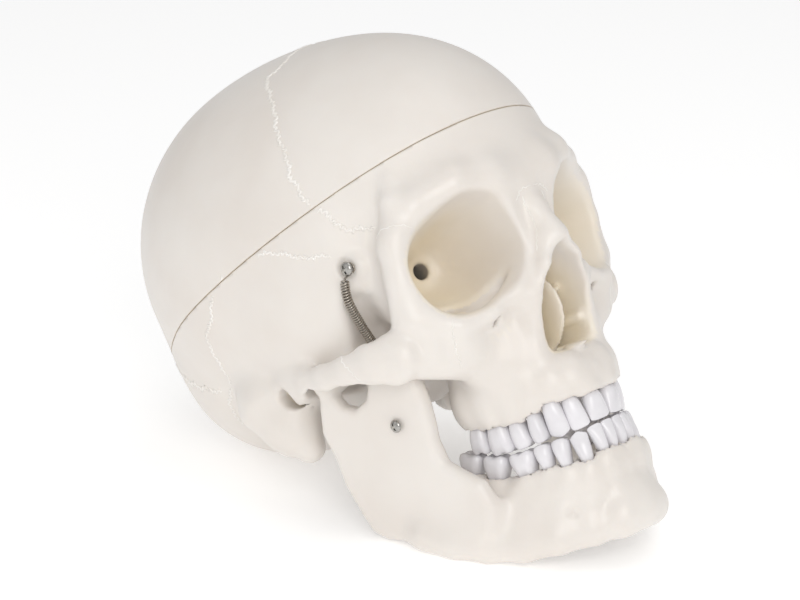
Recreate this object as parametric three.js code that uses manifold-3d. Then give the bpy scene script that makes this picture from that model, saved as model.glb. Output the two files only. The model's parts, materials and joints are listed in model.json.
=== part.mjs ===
// Life-size plastic teaching skull in three parts: a lift-off cap, the skull base with the face, and a
// lower jaw on two coil springs, with separate teeth, screws, nuts and locating pins.
//
// Everything is shaped in the anatomical frame, in mm: x is to the right of a skull that looks along +y,
// y is forward and z is up, with the ear openings on the x axis. One group turns the whole skull to look
// along -Y and tips it back, so that it stands on the back of the head and the edge of the jaw.
import * as THREE from "three";
import { mergeVertices } from "three/addons/utils/BufferGeometryUtils.js";
import Module from "manifold-3d";

const wasm = await Module();
wasm.setup();
const { Manifold, Mesh } = wasm;

// ---- Driving dimensions, mm and degrees ----
const GRID = 2.8;               // spacing of the grid that the bones are shaped on
const WALL = 5.0;               // thickness of the braincase
const CUT_HEIGHT = 43.2;        // height of the cap's cut above the ears
const CUT_RISE = 0.144;         // rise of the cut per mm forward
const CUT_GAP = 0.4;            // gap between cap and base
const FIT = 0.3;                // gap round every tooth, screw and pin
const TILT = 34;                // how far the skull leans back as it stands
const FOOT_CUT = 0.5;           // depth of the flats that it stands on
const BASE_FACES = 6400;        // faces of the braincase and face before it is cut up
const JAW_FACES = 1500;
const TEMPLE_SCREW = new THREE.Vector3(55.1, 50.4, 25.8);
const TEMPLE_EYE_X = 53.6;
const SPOT_FACE = 4.2;          // radius of the flat seat cut for each temple screw
const SPOT_FACE_REACH = 12;     // how far out of the bone the seat's cutter runs
const TEMPLE_SCREW_LENGTH = 7;
const JAW_SCREW = new THREE.Vector3(50.2, 34.7, -30.5);
const JAW_SCREW_LENGTH = 12;
const JAW_EYE_X = 42;
const NUT_X = 38.9;
const NUT_THICKNESS = 1.9;
const NUT_RADIUS = 3.1;
const SPRING_RADIUS = 1.9;
const SPRING_RIDGES = 18;
const WIRE_RADIUS = 0.45;
const SCREW_SHANK = 1.2;
const SCREW_HEAD = 2.7;
const HEAD_HEIGHT = 1.9;
const HEAD_RIM = 0.7;           // height of the head's straight rim, and width of its cross cut
const CUTTER = 400;             // side of the boxes that cut away all on one side of a plane
const PIN_RADIUS = 1.1;
const PIN_LENGTH = 9;
const PIN_SPOTS = [["front", 0, 90], ["rear_right", 42.8, -64], ["rear_left", -42.8, -64]];

// ---- Shaping grid: a field holds the distance to the surface, negative inside ----
const FAR = 30;

function roundMin(a, b, k) {
  if (k <= 0) return Math.min(a, b);
  const h = Math.max(k - Math.abs(a - b), 0) / k;
  return Math.min(a, b) - h * h * k * 0.25;
}

function roundMax(a, b, k) {
  return -roundMin(-a, -b, k);
}

function clamp(v, low, high) {
  return Math.min(Math.max(v, low), high);
}

// Ellipsoid about c with half-axes r.
function egg(c, r) {
  return {
    low: c.map((v, i) => v - r[i]),
    high: c.map((v, i) => v + r[i]),
    at(x, y, z) {
      const u = (x - c[0]) / r[0];
      const v = (y - c[1]) / r[1];
      const w = (z - c[2]) / r[2];
      const k0 = Math.hypot(u, v, w);
      const k1 = Math.hypot(u / r[0], v / r[1], w / r[2]) + 1e-9;
      return (k0 * (k0 - 1)) / k1;
    },
  };
}

// Round bar through points, with a radius at each. flat = [direction, factor] squeezes it.
function bar(points, radii, flat, k = 0) {
  const size = Math.max(...radii);
  let n = [0, 0, 0];
  let squeeze = 0;
  if (flat) {
    const length = Math.hypot(...flat[0]);
    n = flat[0].map((v) => v / length);
    squeeze = 1 / flat[1] - 1;
  }
  return {
    low: [0, 1, 2].map((i) => Math.min(...points.map((p) => p[i])) - size),
    high: [0, 1, 2].map((i) => Math.max(...points.map((p) => p[i])) + size),
    at(x, y, z) {
      let out = Infinity;
      for (let i = 0; i + 1 < points.length; i++) {
        const p = points[i];
        const d = points[i + 1].map((v, j) => v - p[j]);
        let e = [x - p[0], y - p[1], z - p[2]];
        const along = e[0] * d[0] + e[1] * d[1] + e[2] * d[2];
        const t = clamp(along / (d[0] ** 2 + d[1] ** 2 + d[2] ** 2), 0, 1);
        e = e.map((v, j) => v - t * d[j]);
        const w = (e[0] * n[0] + e[1] * n[1] + e[2] * n[2]) * squeeze;
        e = e.map((v, j) => v + w * n[j]);
        const distance = Math.hypot(...e) - (radii[i] + t * (radii[i + 1] - radii[i]));
        out = out === Infinity ? distance : roundMin(out, distance, k);
      }
      return out;
    },
  };
}

function outlineDistance(y, z, outline) {
  let nearest = Infinity;
  let side = 1;
  outline.forEach((a, i) => {
    const b = outline[(i + outline.length - 1) % outline.length];
    const ey = b[0] - a[0];
    const ez = b[1] - a[1];
    const wy = y - a[0];
    const wz = z - a[1];
    const t = clamp((wy * ey + wz * ez) / (ey * ey + ez * ez), 0, 1);
    nearest = Math.min(nearest, Math.hypot(wy - ey * t, wz - ez * t));
    const above = z >= a[1];
    const below = z < b[1];
    const left = ey * wz > ez * wy;
    if ((above && below && left) || (!above && !below && !left)) side = -side;
  });
  return side * nearest;
}

class Field {
  constructor(low, high) {
    this.low = low;
    this.size = low.map((v, i) => Math.round((high[i] - v) / GRID) + 1);
    this.values = new Float32Array(this.size[0] * this.size[1] * this.size[2]).fill(FAR);
  }

  index(i, j, k) {
    return (i * this.size[1] + j) * this.size[2] + k;
  }

  // Calls change(old value, distance to the shape) at each grid point near the shape.
  sweep(shape, margin, change) {
    const from = [0, 1, 2].map((a) => Math.max(0, Math.floor((shape.low[a] - margin - this.low[a]) / GRID)));
    const to = [0, 1, 2].map((a) =>
      Math.min(this.size[a] - 1, Math.ceil((shape.high[a] + margin - this.low[a]) / GRID)));
    for (let i = from[0]; i <= to[0]; i++) {
      for (let j = from[1]; j <= to[1]; j++) {
        for (let k = from[2]; k <= to[2]; k++) {
          const n = this.index(i, j, k);
          const d = shape.at(this.low[0] + i * GRID, this.low[1] + j * GRID, this.low[2] + k * GRID);
          this.values[n] = change(this.values[n], d);
        }
      }
    }
  }

  add(shape, k = 4) {
    this.sweep(shape, k + 3 * GRID + 2, (old, d) => roundMin(old, d, k));
  }

  cut(shape, k = 2) {
    this.sweep(shape, k + 3 * GRID + 2, (old, d) => roundMax(old, -d, k));
  }

  copy() {
    const twin = Object.create(Field.prototype);
    return Object.assign(twin, this, { values: this.values.slice() });
  }
}

// The half-field from x = 0 outward, and its mirror image.
function bothSides(half) {
  const full = Object.create(Field.prototype);
  const [nx, ny, nz] = half.size;
  full.low = [-(nx - 1) * GRID, half.low[1], half.low[2]];
  full.size = [2 * nx - 1, ny, nz];
  full.values = new Float32Array(full.size[0] * ny * nz);
  for (let i = 0; i < full.size[0]; i++) {
    const from = Math.abs(i - (nx - 1)) * ny * nz;
    full.values.set(half.values.subarray(from, from + ny * nz), i * ny * nz);
  }
  return full;
}

// Fills the grid corners that would make the skin touch itself along an edge or at a point.
function settleCorners(field) {
  const [nx, ny, nz] = field.size;
  const corner = (i, j, k, c) => field.index(i + (c & 1), j + ((c >> 1) & 1), k + ((c >> 2) & 1));
  const squares = [[0, 1, 3, 2], [4, 5, 7, 6], [0, 1, 5, 4], [2, 3, 7, 6], [0, 2, 6, 4], [1, 3, 7, 5]];
  let changed = true;
  while (changed) {
    changed = false;
    for (let i = 0; i + 1 < nx; i++) {
      for (let j = 0; j + 1 < ny; j++) {
        for (let k = 0; k + 1 < nz; k++) {
          const ids = [0, 1, 2, 3, 4, 5, 6, 7].map((c) => corner(i, j, k, c));
          const inside = ids.map((n) => field.values[n] < 0);
          const total = inside.filter(Boolean).length;
          if (total === 0 || total === 8) continue;
          let fill = -1;
          for (const [a, b, c, d] of squares) {
            if (inside[a] !== inside[b] && inside[a] === inside[c] && inside[b] === inside[d]) {
              fill = inside[a] ? b : a;
            }
          }
          for (let c = 0; c < 4; c++) {
            const opposite = inside[c] === inside[7 - c];
            if (opposite && total === 2 && inside[c]) fill = c ^ 1;
            if (opposite && total === 6 && !inside[c]) fill = c;
          }
          if (fill >= 0) {
            field.values[ids[fill]] = -0.05;
            changed = true;
          }
        }
      }
    }
  }
}

// Skin of a field: one point in each grid cell that the surface crosses.
function skin(half) {
  const field = bothSides(half);
  settleCorners(field);
  const [nx, ny, nz] = field.size;
  const cellPoint = new Int32Array(nx * ny * nz).fill(-1);
  const points = [];
  const steps = [[1, 0, 0], [0, 1, 0], [0, 0, 1]];
  for (let i = 0; i + 1 < nx; i++) {
    for (let j = 0; j + 1 < ny; j++) {
      for (let k = 0; k + 1 < nz; k++) {
        const sum = [0, 0, 0];
        let crossings = 0;
        for (let c = 0; c < 8; c++) {
          const p = [c & 1, (c >> 1) & 1, (c >> 2) & 1];
          const a = field.values[field.index(i + p[0], j + p[1], k + p[2])];
          for (let d = 0; d < 3; d++) {
            if (p[d]) continue;
            const q = p.map((v, n) => v + steps[d][n]);
            const b = field.values[field.index(i + q[0], j + q[1], k + q[2])];
            if (a < 0 === b < 0) continue;
            const t = a / (a - b);
            p.forEach((v, n) => {
              sum[n] += v + t * steps[d][n];
            });
            crossings++;
          }
        }
        if (!crossings) continue;
        cellPoint[field.index(i, j, k)] = points.length;
        points.push([i, j, k].map((v, n) => field.low[n] + (v + sum[n] / crossings) * GRID));
      }
    }
  }
  const faces = [];
  for (let i = 1; i + 1 < nx; i++) {
    for (let j = 1; j + 1 < ny; j++) {
      for (let k = 1; k + 1 < nz; k++) {
        const a = field.values[field.index(i, j, k)] < 0;
        for (let d = 0; d < 3; d++) {
          const b = field.values[field.index(i + steps[d][0], j + steps[d][1], k + steps[d][2])] < 0;
          if (a === b) continue;
          const u = steps[(d + 1) % 3];
          const v = steps[(d + 2) % 3];
          const at = (m, n) => cellPoint[
            field.index(i - m * u[0] - n * v[0], j - m * u[1] - n * v[1], k - m * u[2] - n * v[2])];
          const quad = [at(0, 0), at(1, 0), at(1, 1), at(0, 1)];
          if (!a) quad.reverse();
          faces.push([quad[0], quad[1], quad[2]], [quad[0], quad[2], quad[3]]);
        }
      }
    }
  }
  return { points, faces };
}

// ---- Edge collapse: fewer, larger faces where the surface is nearly flat ----
function planeQuadric(a, b, c) {
  const n = new THREE.Vector3().subVectors(b, a).cross(new THREE.Vector3().subVectors(c, a));
  const area = n.length();
  n.normalize();
  const d = -n.dot(a);
  const w = area / 6;
  return [n.x * n.x, n.x * n.y, n.x * n.z, n.x * d, n.y * n.y, n.y * n.z, n.y * d, n.z * n.z, n.z * d, d * d]
    .map((v) => v * w);
}

// Quadric of the distance to a point, which keeps the faces well shaped.
function pointQuadric(p, w) {
  return [1, 0, 0, -p.x, 1, 0, -p.y, 1, -p.z, p.dot(p)].map((v) => v * w);
}

function quadricError(q, p) {
  return q[0] * p.x * p.x + 2 * q[1] * p.x * p.y + 2 * q[2] * p.x * p.z + 2 * q[3] * p.x +
    q[4] * p.y * p.y + 2 * q[5] * p.y * p.z + 2 * q[6] * p.y +
    q[7] * p.z * p.z + 2 * q[8] * p.z + q[9];
}

function bestPoint(q) {
  const m = new THREE.Matrix3().set(q[0], q[1], q[2], q[1], q[4], q[5], q[2], q[5], q[7]).invert();
  return new THREE.Vector3(-q[3], -q[6], -q[8]).applyMatrix3(m);
}

class Heap {
  constructor() {
    this.items = [];
  }

  push(item) {
    const h = this.items;
    let i = h.push(item) - 1;
    while (i > 0) {
      const up = (i - 1) >> 1;
      if (h[up].cost <= h[i].cost) break;
      [h[up], h[i]] = [h[i], h[up]];
      i = up;
    }
  }

  pop() {
    const h = this.items;
    const top = h[0];
    const last = h.pop();
    if (h.length === 0) return top;
    h[0] = last;
    let i = 0;
    for (;;) {
      let low = 2 * i + 1;
      if (low >= h.length) break;
      if (low + 1 < h.length && h[low + 1].cost < h[low].cost) low++;
      if (h[i].cost <= h[low].cost) break;
      [h[low], h[i]] = [h[i], h[low]];
      i = low;
    }
    return top;
  }
}

function thin({ points, faces }, target) {
  const spots = points.map((p) => new THREE.Vector3(...p));
  const tris = faces.map((f) => f.slice());
  const touching = spots.map(() => new Set());
  const quadrics = spots.map((p) => pointQuadric(p, 0.004));
  const stamp = new Int32Array(spots.length);
  tris.forEach((f, n) => {
    const q = planeQuadric(...f.map((v) => spots[v]));
    f.forEach((v) => {
      touching[v].add(n);
      q.forEach((value, i) => {
        quadrics[v][i] += value;
      });
    });
  });
  const neighbours = (v) => {
    const out = new Set();
    touching[v].forEach((n) => tris[n].forEach((w) => out.add(w)));
    out.delete(v);
    return out;
  };
  const heap = new Heap();
  const offer = (u, v) => {
    const q = quadrics[u].map((value, i) => value + quadrics[v][i]);
    const spot = bestPoint(q);
    heap.push({ cost: quadricError(q, spot), u, v, spot, q, su: stamp[u], sv: stamp[v] });
  };
  tris.forEach(([a, b, c]) => {
    if (a < b) offer(a, b);
    if (b < c) offer(b, c);
    if (c < a) offer(c, a);
  });
  const normal = new THREE.Vector3();
  const moved = new THREE.Vector3();
  const side = new THREE.Vector3();
  const normalOf = (out, [a, b, c]) => out.subVectors(b, a).cross(side.subVectors(c, a));
  const keepsFacing = (v, other, spot) => {
    for (const n of touching[v]) {
      if (tris[n].includes(other)) continue;
      normalOf(normal, tris[n].map((w) => spots[w]));
      normalOf(moved, tris[n].map((w) => (w === v ? spot : spots[w])));
      if (moved.length() < 0.4 || normal.dot(moved) < 0.35 * normal.length() * moved.length()) return false;
    }
    return true;
  };
  let left = tris.length;
  while (left > target && heap.items.length) {
    const { u, v, spot, q, su, sv } = heap.pop();
    if (su !== stamp[u] || sv !== stamp[v]) continue;
    const shared = neighbours(u);
    const common = [...neighbours(v)].filter((w) => shared.has(w));
    if (common.length !== 2 || !keepsFacing(u, v, spot) || !keepsFacing(v, u, spot)) continue;
    for (const n of [...touching[v]]) {
      if (tris[n].includes(u)) {
        tris[n].forEach((w) => touching[w].delete(n));
        left--;
      } else {
        tris[n] = tris[n].map((w) => (w === v ? u : w));
        touching[u].add(n);
      }
    }
    touching[v].clear();
    stamp[v] = -1;
    stamp[u]++;
    spots[u] = spot;
    quadrics[u] = q;
    neighbours(u).forEach((w) => offer(u, w));
  }
  const kept = [...new Set(touching.flatMap((set) => [...set]))];
  return { points: spots.map((p) => p.toArray()), faces: kept.map((n) => tris[n]) };
}

// ---- Solids ----
function solid({ points, faces }) {
  return new Manifold(new Mesh({
    numProp: 3,
    vertProperties: new Float32Array(points.flat()),
    triVerts: new Uint32Array(faces.flat()),
  }));
}

function solidOf(geometry) {
  const plain = new THREE.BufferGeometry();
  plain.setAttribute("position", geometry.getAttribute("position"));
  if (geometry.index) plain.setIndex(geometry.index);
  const welded = mergeVertices(plain, 1e-4);
  return new Manifold(new Mesh({
    numProp: 3,
    vertProperties: new Float32Array(welded.getAttribute("position").array),
    triVerts: new Uint32Array(welded.index.array),
  }));
}

function geometryOf(body) {
  const mesh = body.getMesh();
  const geometry = new THREE.BufferGeometry();
  geometry.setAttribute("position", new THREE.BufferAttribute(new Float32Array(mesh.vertProperties), 3));
  geometry.setIndex(new THREE.BufferAttribute(new Uint32Array(mesh.triVerts), 1));
  return geometry;
}

// Closed body through rings of points, with a point in the middle of each end.
function loft(rings, dip = 0) {
  const n = rings[0].length;
  const middle = (ring) => ring.reduce((sum, p) => sum.add(p), new THREE.Vector3()).divideScalar(n);
  const first = middle(rings[0]);
  const last = middle(rings[rings.length - 1]);
  last.addScaledVector(last.clone().sub(middle(rings[rings.length - 2])).normalize(), -dip);
  const points = [...rings.flat(), first, last];
  const faces = [];
  for (let i = 0; i < n; i++) {
    const next = (i + 1) % n;
    faces.push([n * rings.length, next, i]);
    faces.push([n * rings.length + 1, n * (rings.length - 1) + i, n * (rings.length - 1) + next]);
    for (let r = 0; r + 1 < rings.length; r++) {
      const a = n * r + i;
      const b = n * r + next;
      faces.push([a, b, b + n], [a, b + n, a + n]);
    }
  }
  return { points: points.map((p) => p.toArray()), faces };
}

// Round rod from a to b.
function rod(a, b, radius, sides = 12) {
  const geometry = new THREE.CylinderGeometry(radius, radius, a.distanceTo(b), sides);
  geometry.applyQuaternion(new THREE.Quaternion().setFromUnitVectors(
    new THREE.Vector3(0, 1, 0), b.clone().sub(a).normalize()));
  geometry.translate(...a.clone().add(b).multiplyScalar(0.5).toArray());
  return geometry;
}

const v3 = (x, y, z) => new THREE.Vector3(x, y, z);

// ---- Braincase and face ----
const SKULL_HIGH = [78, 112, 128];
const ORBIT_TURN = 0.32;        // slant of the eye socket's long axis, lower at the temple
const ORBIT_HALF_WIDTH = 21.5;
const ORBIT_HALF_HEIGHT = 18.6;
const NOSE_HALF_WIDTH = 12;

// Eye socket: a cone with rounded corners that narrows toward the optic canal.
function orbit() {
  const apex = v3(17.5, 44, 16);
  const mouth = v3(30.3, 82, 12.2);
  const length = apex.distanceTo(mouth);
  const axis = mouth.clone().sub(apex).normalize();
  const across = axis.clone().cross(v3(0, 0, 1)).normalize();
  const up = across.clone().cross(axis);
  const e = v3(0, 0, 0);
  return {
    low: [-5, 38, -14],
    high: [66, 125, 46],
    at(x, y, z) {
      e.set(x, y, z).sub(apex);
      const t = e.dot(axis) / length;
      const grow = 0.14 + 0.86 * clamp(t, 0, 1.1) ** 0.55;
      const u = e.dot(across) * Math.cos(ORBIT_TURN) - e.dot(up) * Math.sin(ORBIT_TURN);
      const v = e.dot(up) * Math.cos(ORBIT_TURN) + e.dot(across) * Math.sin(ORBIT_TURN);
      const wide = Math.abs(u / (ORBIT_HALF_WIDTH * grow)) ** 2.4;
      const high = Math.abs(v / (ORBIT_HALF_HEIGHT * grow)) ** 2.4;
      const ring = (wide + high) ** (1 / 2.4);
      return roundMax((ring - 1) * ORBIT_HALF_HEIGHT * grow, -t * length, 4);
    },
  };
}

// Pear-shaped opening of the nose, narrowing toward the back.
function noseOpening() {
  return {
    low: [-15, 38, -34],
    high: [16, 120, 8],
    at(x, y, z) {
      const rise = clamp((z + 16) / 22, 0, 1.1);
      const back = clamp((88 - y) / 40, 0, 1);
      const width = NOSE_HALF_WIDTH * (1 - rise ** 2) * (1 - 0.25 * back);
      const sides = roundMax(Math.abs(x) - width, -(z + 30.3 - 5 * back), 4);
      return roundMax(roundMax(sides, z - 4.5, 3), 40 - y, 3);
    },
  };
}

// Middle of the upper jaw's edge, and the room that each spring needs behind the cheek.
const GUM_LINE = [[0, 81.2, -41.5], [6.3, 80.2, -40.3], [12.4, 76.4, -38.3], [17, 70, -38.5],
  [20.5, 62.4, -39.3], [23.3, 54.4, -37.5], [25.3, 47, -34.5]];
const SPRING_ROOM = [[52, 45, 12], [45.5, 38.5, 0], [40.5, 36, -14], [39, 36, -32]];

function addBraincase(field) {
  field.add(egg([0, 30, 46], [57, 64.5, 62]), 0);
  field.add(egg([0, -13, 49], [69.5, 74, 69]), 24);
  field.add(egg([0, -48, 18], [52, 41, 42]), 14);
  field.add(egg([30, 16, 20], [32, 38, 31]), 14);
}

function addFace(field) {
  field.cut(egg([75, 61, 18], [28, 15, 36]), 6);
  field.add(bar([[0, 89, 32], [13, 90, 33.5], [26, 86.5, 37], [40, 77, 35], [48.5, 68.5, 24.5]],
    [6.5, 6.5, 5.5, 4.5, 4.5], null, 3), 7);
  field.add(bar([[48.5, 68.5, 24.5], [49, 66, 13], [48.5, 64.5, 0]], [4.2, 4.2, 4.5]), 4);
  field.add(bar([[45, 74, 42], [48, 71, 28], [49.5, 66.5, 14], [50, 61.5, 2]], [3, 3.6, 4.4, 5], null, 2), 3);
  field.add(egg([42, 59.5, -8], [8.5, 10, 11]), 7);
  field.add(bar([[48, 64, -1], [38, 72.5, -9], [27, 78.5, -9.5], [17, 82, -3], [13, 86, 12], [11, 88, 24]],
    [4.5, 4, 4, 4, 3.6, 4.5], null, 2), 5);
  field.add(egg([14, 59, -20], [18, 22, 21]), 6);
  field.add(egg([31, 65, -14], [12, 9, 10]), 5);
  field.add(bar([[47, 58, -16], [41, 61.5, -19.5], [33, 63, -22], [26, 62, -28]], [5, 4.6, 5, 6]), 6);
  field.add(bar(GUM_LINE, GUM_LINE.map(() => 7), [[0, 0, 1], 1.35], 2), 5);
  field.add(bar([[0, 87, 29], [0, 91, 19], [0, 97, 7]], [6, 5, 3.6], null, 3), 4);
  field.add(bar([[9, 87, 25], [11, 87, 8], [15, 82, -8]], [4, 4, 5.5]), 4);
  field.add(bar([[3, 94, 7], [6.5, 92.5, -1], [11, 86.5, -9], [14, 81, -18], [14, 77, -28]],
    [3.4, 3.4, 3.6, 4, 4.5], null, 2), 4);
  field.add(egg([0, 62, 8], [13, 30, 22]), 6);
  field.add(egg([41, 61, 11], [8, 14, 19]), 6);
  field.add(bar([[0, 80, -31], [0, 89.5, -29.5]], [3, 1.2]), 2);
}

function addUnderside(field) {
  field.add(bar([[0, 6, -16], [0, 24, -8], [0, 40, 0]], [9, 10, 11]), 6);
  field.add(bar([[48, 58.5, -9.5], [56, 54, -10], [61, 47, -8], [63, 36, -6], [63, 25, -4.5], [61, 14, -3],
    [57, 2, -1]], [9, 9, 7, 5, 4.6, 5, 6], [[1, 0.2, 0], 0.5], 2), 4);
  field.add(egg([50, 4, 0], [11, 14, 9]), 6);
  field.add(bar([[50, -20, -2], [50, -16, -13], [50.5, -12.5, -22.8]], [14.5, 11.5, 5.8], null, 3), 8);
  field.add(egg([14, -4, -24], [6, 11, 6]), 3);
  field.add(bar([[15, 44, -6], [16.5, 42, -28]], [5, 4], [[1, 0, 0], 0.4]), 3);
  field.add(bar([[44, 50.4, 25.8], [49.5, 50.4, 25.8]], [4.6, 4.6]), 3);
}

function carveFace(field) {
  field.cut(egg([0, 54, -46], [20, 30, 14]), 4);
  field.cut(egg([29, 91, -20], [10, 13, 9]), 8);
  field.cut(noseOpening(), 1.5);
  field.cut(orbit(), 2);
  field.cut(bar(SPRING_ROOM, [4, 6, 7.5, 8], null, 3), 6);
  field.cut(egg([50, 14, -7.5], [13, 9, 7]), 2);
}

// The hollow inside follows the braincase, with a floor over the face, the ears and the spine.
function hollowOut(field, brain) {
  const room = new Field(field.low, SKULL_HIGH);
  room.add(egg([0, 50, 66], [46, 40, 38]), 0);
  room.add(egg([33, 16, 30], [27, 34, 31]), 8);
  room.add(egg([0, -30, 24], [52, 50, 44]), 8);
  room.add(egg([0, -10, 80], [66, 80, 50]), 10);
  for (let n = 0; n < field.values.length; n++) {
    const hollow = roundMax(roundMax(brain.values[n] + WALL, room.values[n], 6), field.values[n] + WALL, 2);
    field.values[n] = roundMax(field.values[n], -hollow, 1.5);
  }
}

function skullField() {
  const field = new Field([0, -98, -56], SKULL_HIGH);
  addBraincase(field);
  const brain = field.copy();
  addFace(field);
  addUnderside(field);
  carveFace(field);
  hollowOut(field, brain);
  field.cut(bar([[18.5, 47, 17.5], [10, 26, 17]], [3.6, 3.6]), 1);
  field.cut(bar([[70, -3, -3], [42, -4, -6]], [4, 4]), 1);
  field.cut(bar([[0, -14, -60], [0, -14, 0]], [16, 16]), 2);
  return field;
}

// Side outline of the jaw's rising branch, forward and up.
const RAMUS = [[12, -5], [7, -12], [2, -21], [1.5, -31], [-0.8, -42], [-0.8, -53], [-0.2, -61], [4, -65.5],
  [10, -68.5], [17, -70.5], [24, -75], [34, -80], [46, -78], [52, -70], [52, -61], [46, -54], [42.5, -49],
  [43.5, -41], [46, -35], [48.7, -26.6], [50, -19], [49.5, -12], [47, -4], [43, -1.5], [37, -5],
  [31.5, -12], [27, -17], [20.5, -18.5], [16, -15.5], [14.5, -10], [16.5, -5]];
const RAMUS_HALF_THICKNESS = 3.2;

function jawField() {
  const field = new Field([0, -10, -110], [74, 106, 16]);
  const upper = [[0, 78, -73.5], [6.5, 77.2, -73.3], [12.8, 73.5, -73.8], [17.3, 67.3, -73.3],
    [20.8, 60, -72.3], [23.8, 52, -71], [26.3, 44, -68], [28.5, 36, -62.5]];
  const lower = [[0, 75.5, -91.5], [7, 74, -91.8], [15, 67.5, -91], [23.5, 58.5, -89], [30, 48, -86.5],
    [36, 37, -82], [41, 28, -76.5], [44.5, 19, -70]];
  const between = upper.map((p, i) => p.map((v, n) => (v + lower[i][n]) / 2));
  field.add(bar(upper, [6.2, 6.2, 6, 6.2, 6.2, 6.5, 6.5, 6], null, 2), 0);
  field.add(bar(lower, [7.3, 6.4, 6.5, 6.5, 6.5, 6, 5.5, 5], null, 2), 6);
  field.add(bar(between, [4.5, 4.5, 5, 5.5, 6, 6, 6, 6], null, 2), 6);
  field.add(egg([0, 79, -90], [10, 5.2, 7.5]), 6);
  field.add(egg([8, 75, -92.5], [5.5, 5, 5]), 5);
  field.add({
    low: [36, -5, -85],
    high: [62, 62, 8],
    at(x, y, z) {
      const bend = Math.abs(x - (50.5 - 0.17 * (y - 8) + 0.14 * (z + 32)));
      return roundMax(outlineDistance(y, z, RAMUS), bend - RAMUS_HALF_THICKNESS, 3);
    },
  }, 6);
  field.add(egg([50, 14, -6], [9.5, 5, 4]), 3);
  return field;
}

// ---- Teeth ----
// Each kind: width along the arch, depth across it, crown height, and whether it is a broad back tooth.
const UPPER_TEETH = [
  ["central_incisor", 8.4, 7.0, 10.4, false],
  ["lateral_incisor", 7.3, 6.4, 12.0, false],
  ["canine", 7.8, 7.6, 13.6, false],
  ["first_premolar", 6.5, 8.4, 10.6, true],
  ["second_premolar", 7.4, 8.4, 10.6, true],
  ["first_molar", 9.8, 10.2, 11.6, true],
  ["second_molar", 8.2, 9.8, 10.0, true],
];
const LOWER_TEETH = [
  ["central_incisor", 5.3, 6.0, 9.2, false],
  ["lateral_incisor", 5.8, 6.2, 9.2, false],
  ["canine", 6.8, 7.2, 10.4, false],
  ["first_premolar", 6.6, 7.6, 9.4, true],
  ["second_premolar", 6.8, 8.0, 8.2, true],
  ["first_molar", 10.2, 9.4, 9.0, true],
  ["second_molar", 10.2, 9.2, 9.2, true],
  ["third_molar", 10.2, 8.8, 8.2, true],
];
// Middle of the teeth along the arch: to the side, forward, and the height where the teeth meet.
const ARCH = [[0, 83.3, -58.2], [6.5, 82.1, -58.2], [12.6, 78, -58.6], [17.2, 71.5, -57.8],
  [20.3, 63.5, -56.8], [23, 54.8, -56], [25, 46, -52.8], [26.2, 37.5, -48.6], [26.7, 29, -44.5]];
const UPPER_SLOPE = 0.6;        // share of the arch's slope that the upper teeth follow
const LOWER_LEAN = 0.24;        // outward lean of the lower front teeth, fading out along the arch
const LEAN_REACH = 26;
const BITE_GAP = 0.7;
const TOOTH_GAP = 0.7;
const ROOT = 5;
const TOOTH_SIDES = 10;
// Front teeth: height along the tooth, width, depth and outward lean at each ring, as shares.
const FRONT_RINGS = [[-1, 0.42, 0.4, 0], [0.02, 0.68, 0.8, 0], [0.28, 0.88, 0.9, 0.03],
  [0.62, 0.98, 0.72, 0.05], [0.9, 0.99, 0.42, 0.04], [1, 0.9, 0.26, 0.03]];
const BACK_RINGS = [[-1, 0.5, 0.45, 0], [0.02, 0.8, 0.84, 0], [0.42, 0.97, 1, 0], [0.82, 0.97, 0.92, 0],
  [1, 0.72, 0.62, 0]];

// One tooth that stands up along z from its gum, with y outward. grow makes the hole that it sits in.
function toothSolid([, width, depth, crown, broad], grow) {
  const rings = broad ? BACK_RINGS : FRONT_RINGS;
  const power = broad ? 0.8 : 1;
  return solid(loft(rings.map(([share, wide, deep, lean], r) => {
    const height = share < 0 ? share * ROOT : share * crown;
    const stretch = r === 0 ? -grow : 0;
    return Array.from({ length: TOOTH_SIDES }, (_, i) => {
      const turn = (2 * Math.PI * i) / TOOTH_SIDES;
      const c = Math.sign(Math.cos(turn)) * Math.abs(Math.cos(turn)) ** power;
      const s = Math.sign(Math.sin(turn)) * Math.abs(Math.sin(turn)) ** power;
      return v3(c * ((width - TOOTH_GAP) * wide * 0.5 + grow), s * (depth * deep * 0.5 + grow) + lean * depth,
        height + stretch);
    });
  }), broad && grow === 0 ? 1 : 0));
}

// Where each tooth of one half arch stands. rises is +1 for the upper teeth, whose roots point up, and -1
// for the lower.
function toothPlaces(kinds, rises, side) {
  const curve = new THREE.CatmullRomCurve3(ARCH.map(([x, y, z]) => v3(side * x, y, z)));
  const length = curve.getLength();
  let reached = 0;
  return kinds.map((kind) => {
    const middle = reached + kind[1] / 2;
    reached += kind[1];
    const half = kind[1] / 2;
    const along = curve.getPointAt((middle + half) / length).sub(curve.getPointAt((middle - half) / length));
    along.z *= rises > 0 ? UPPER_SLOPE : 1;
    along.normalize();
    let outward = v3(along.y, -along.x, 0).multiplyScalar(-side).normalize();
    const bite = along.clone().cross(outward).multiplyScalar(-side * rises);
    const lean = rises < 0 ? LOWER_LEAN * Math.max(0, 1 - middle / LEAN_REACH) : 0;
    bite.addScaledVector(outward, lean).normalize();
    outward = outward.addScaledVector(bite, -outward.dot(bite)).normalize();
    const gum = curve.getPointAt(middle / length).addScaledVector(bite, -(kind[3] + BITE_GAP / 2));
    const turn = new THREE.Matrix4().makeBasis(outward.clone().cross(bite), outward, bite);
    return { kind, gum, turn: new THREE.Quaternion().setFromRotationMatrix(turn) };
  });
}

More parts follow.
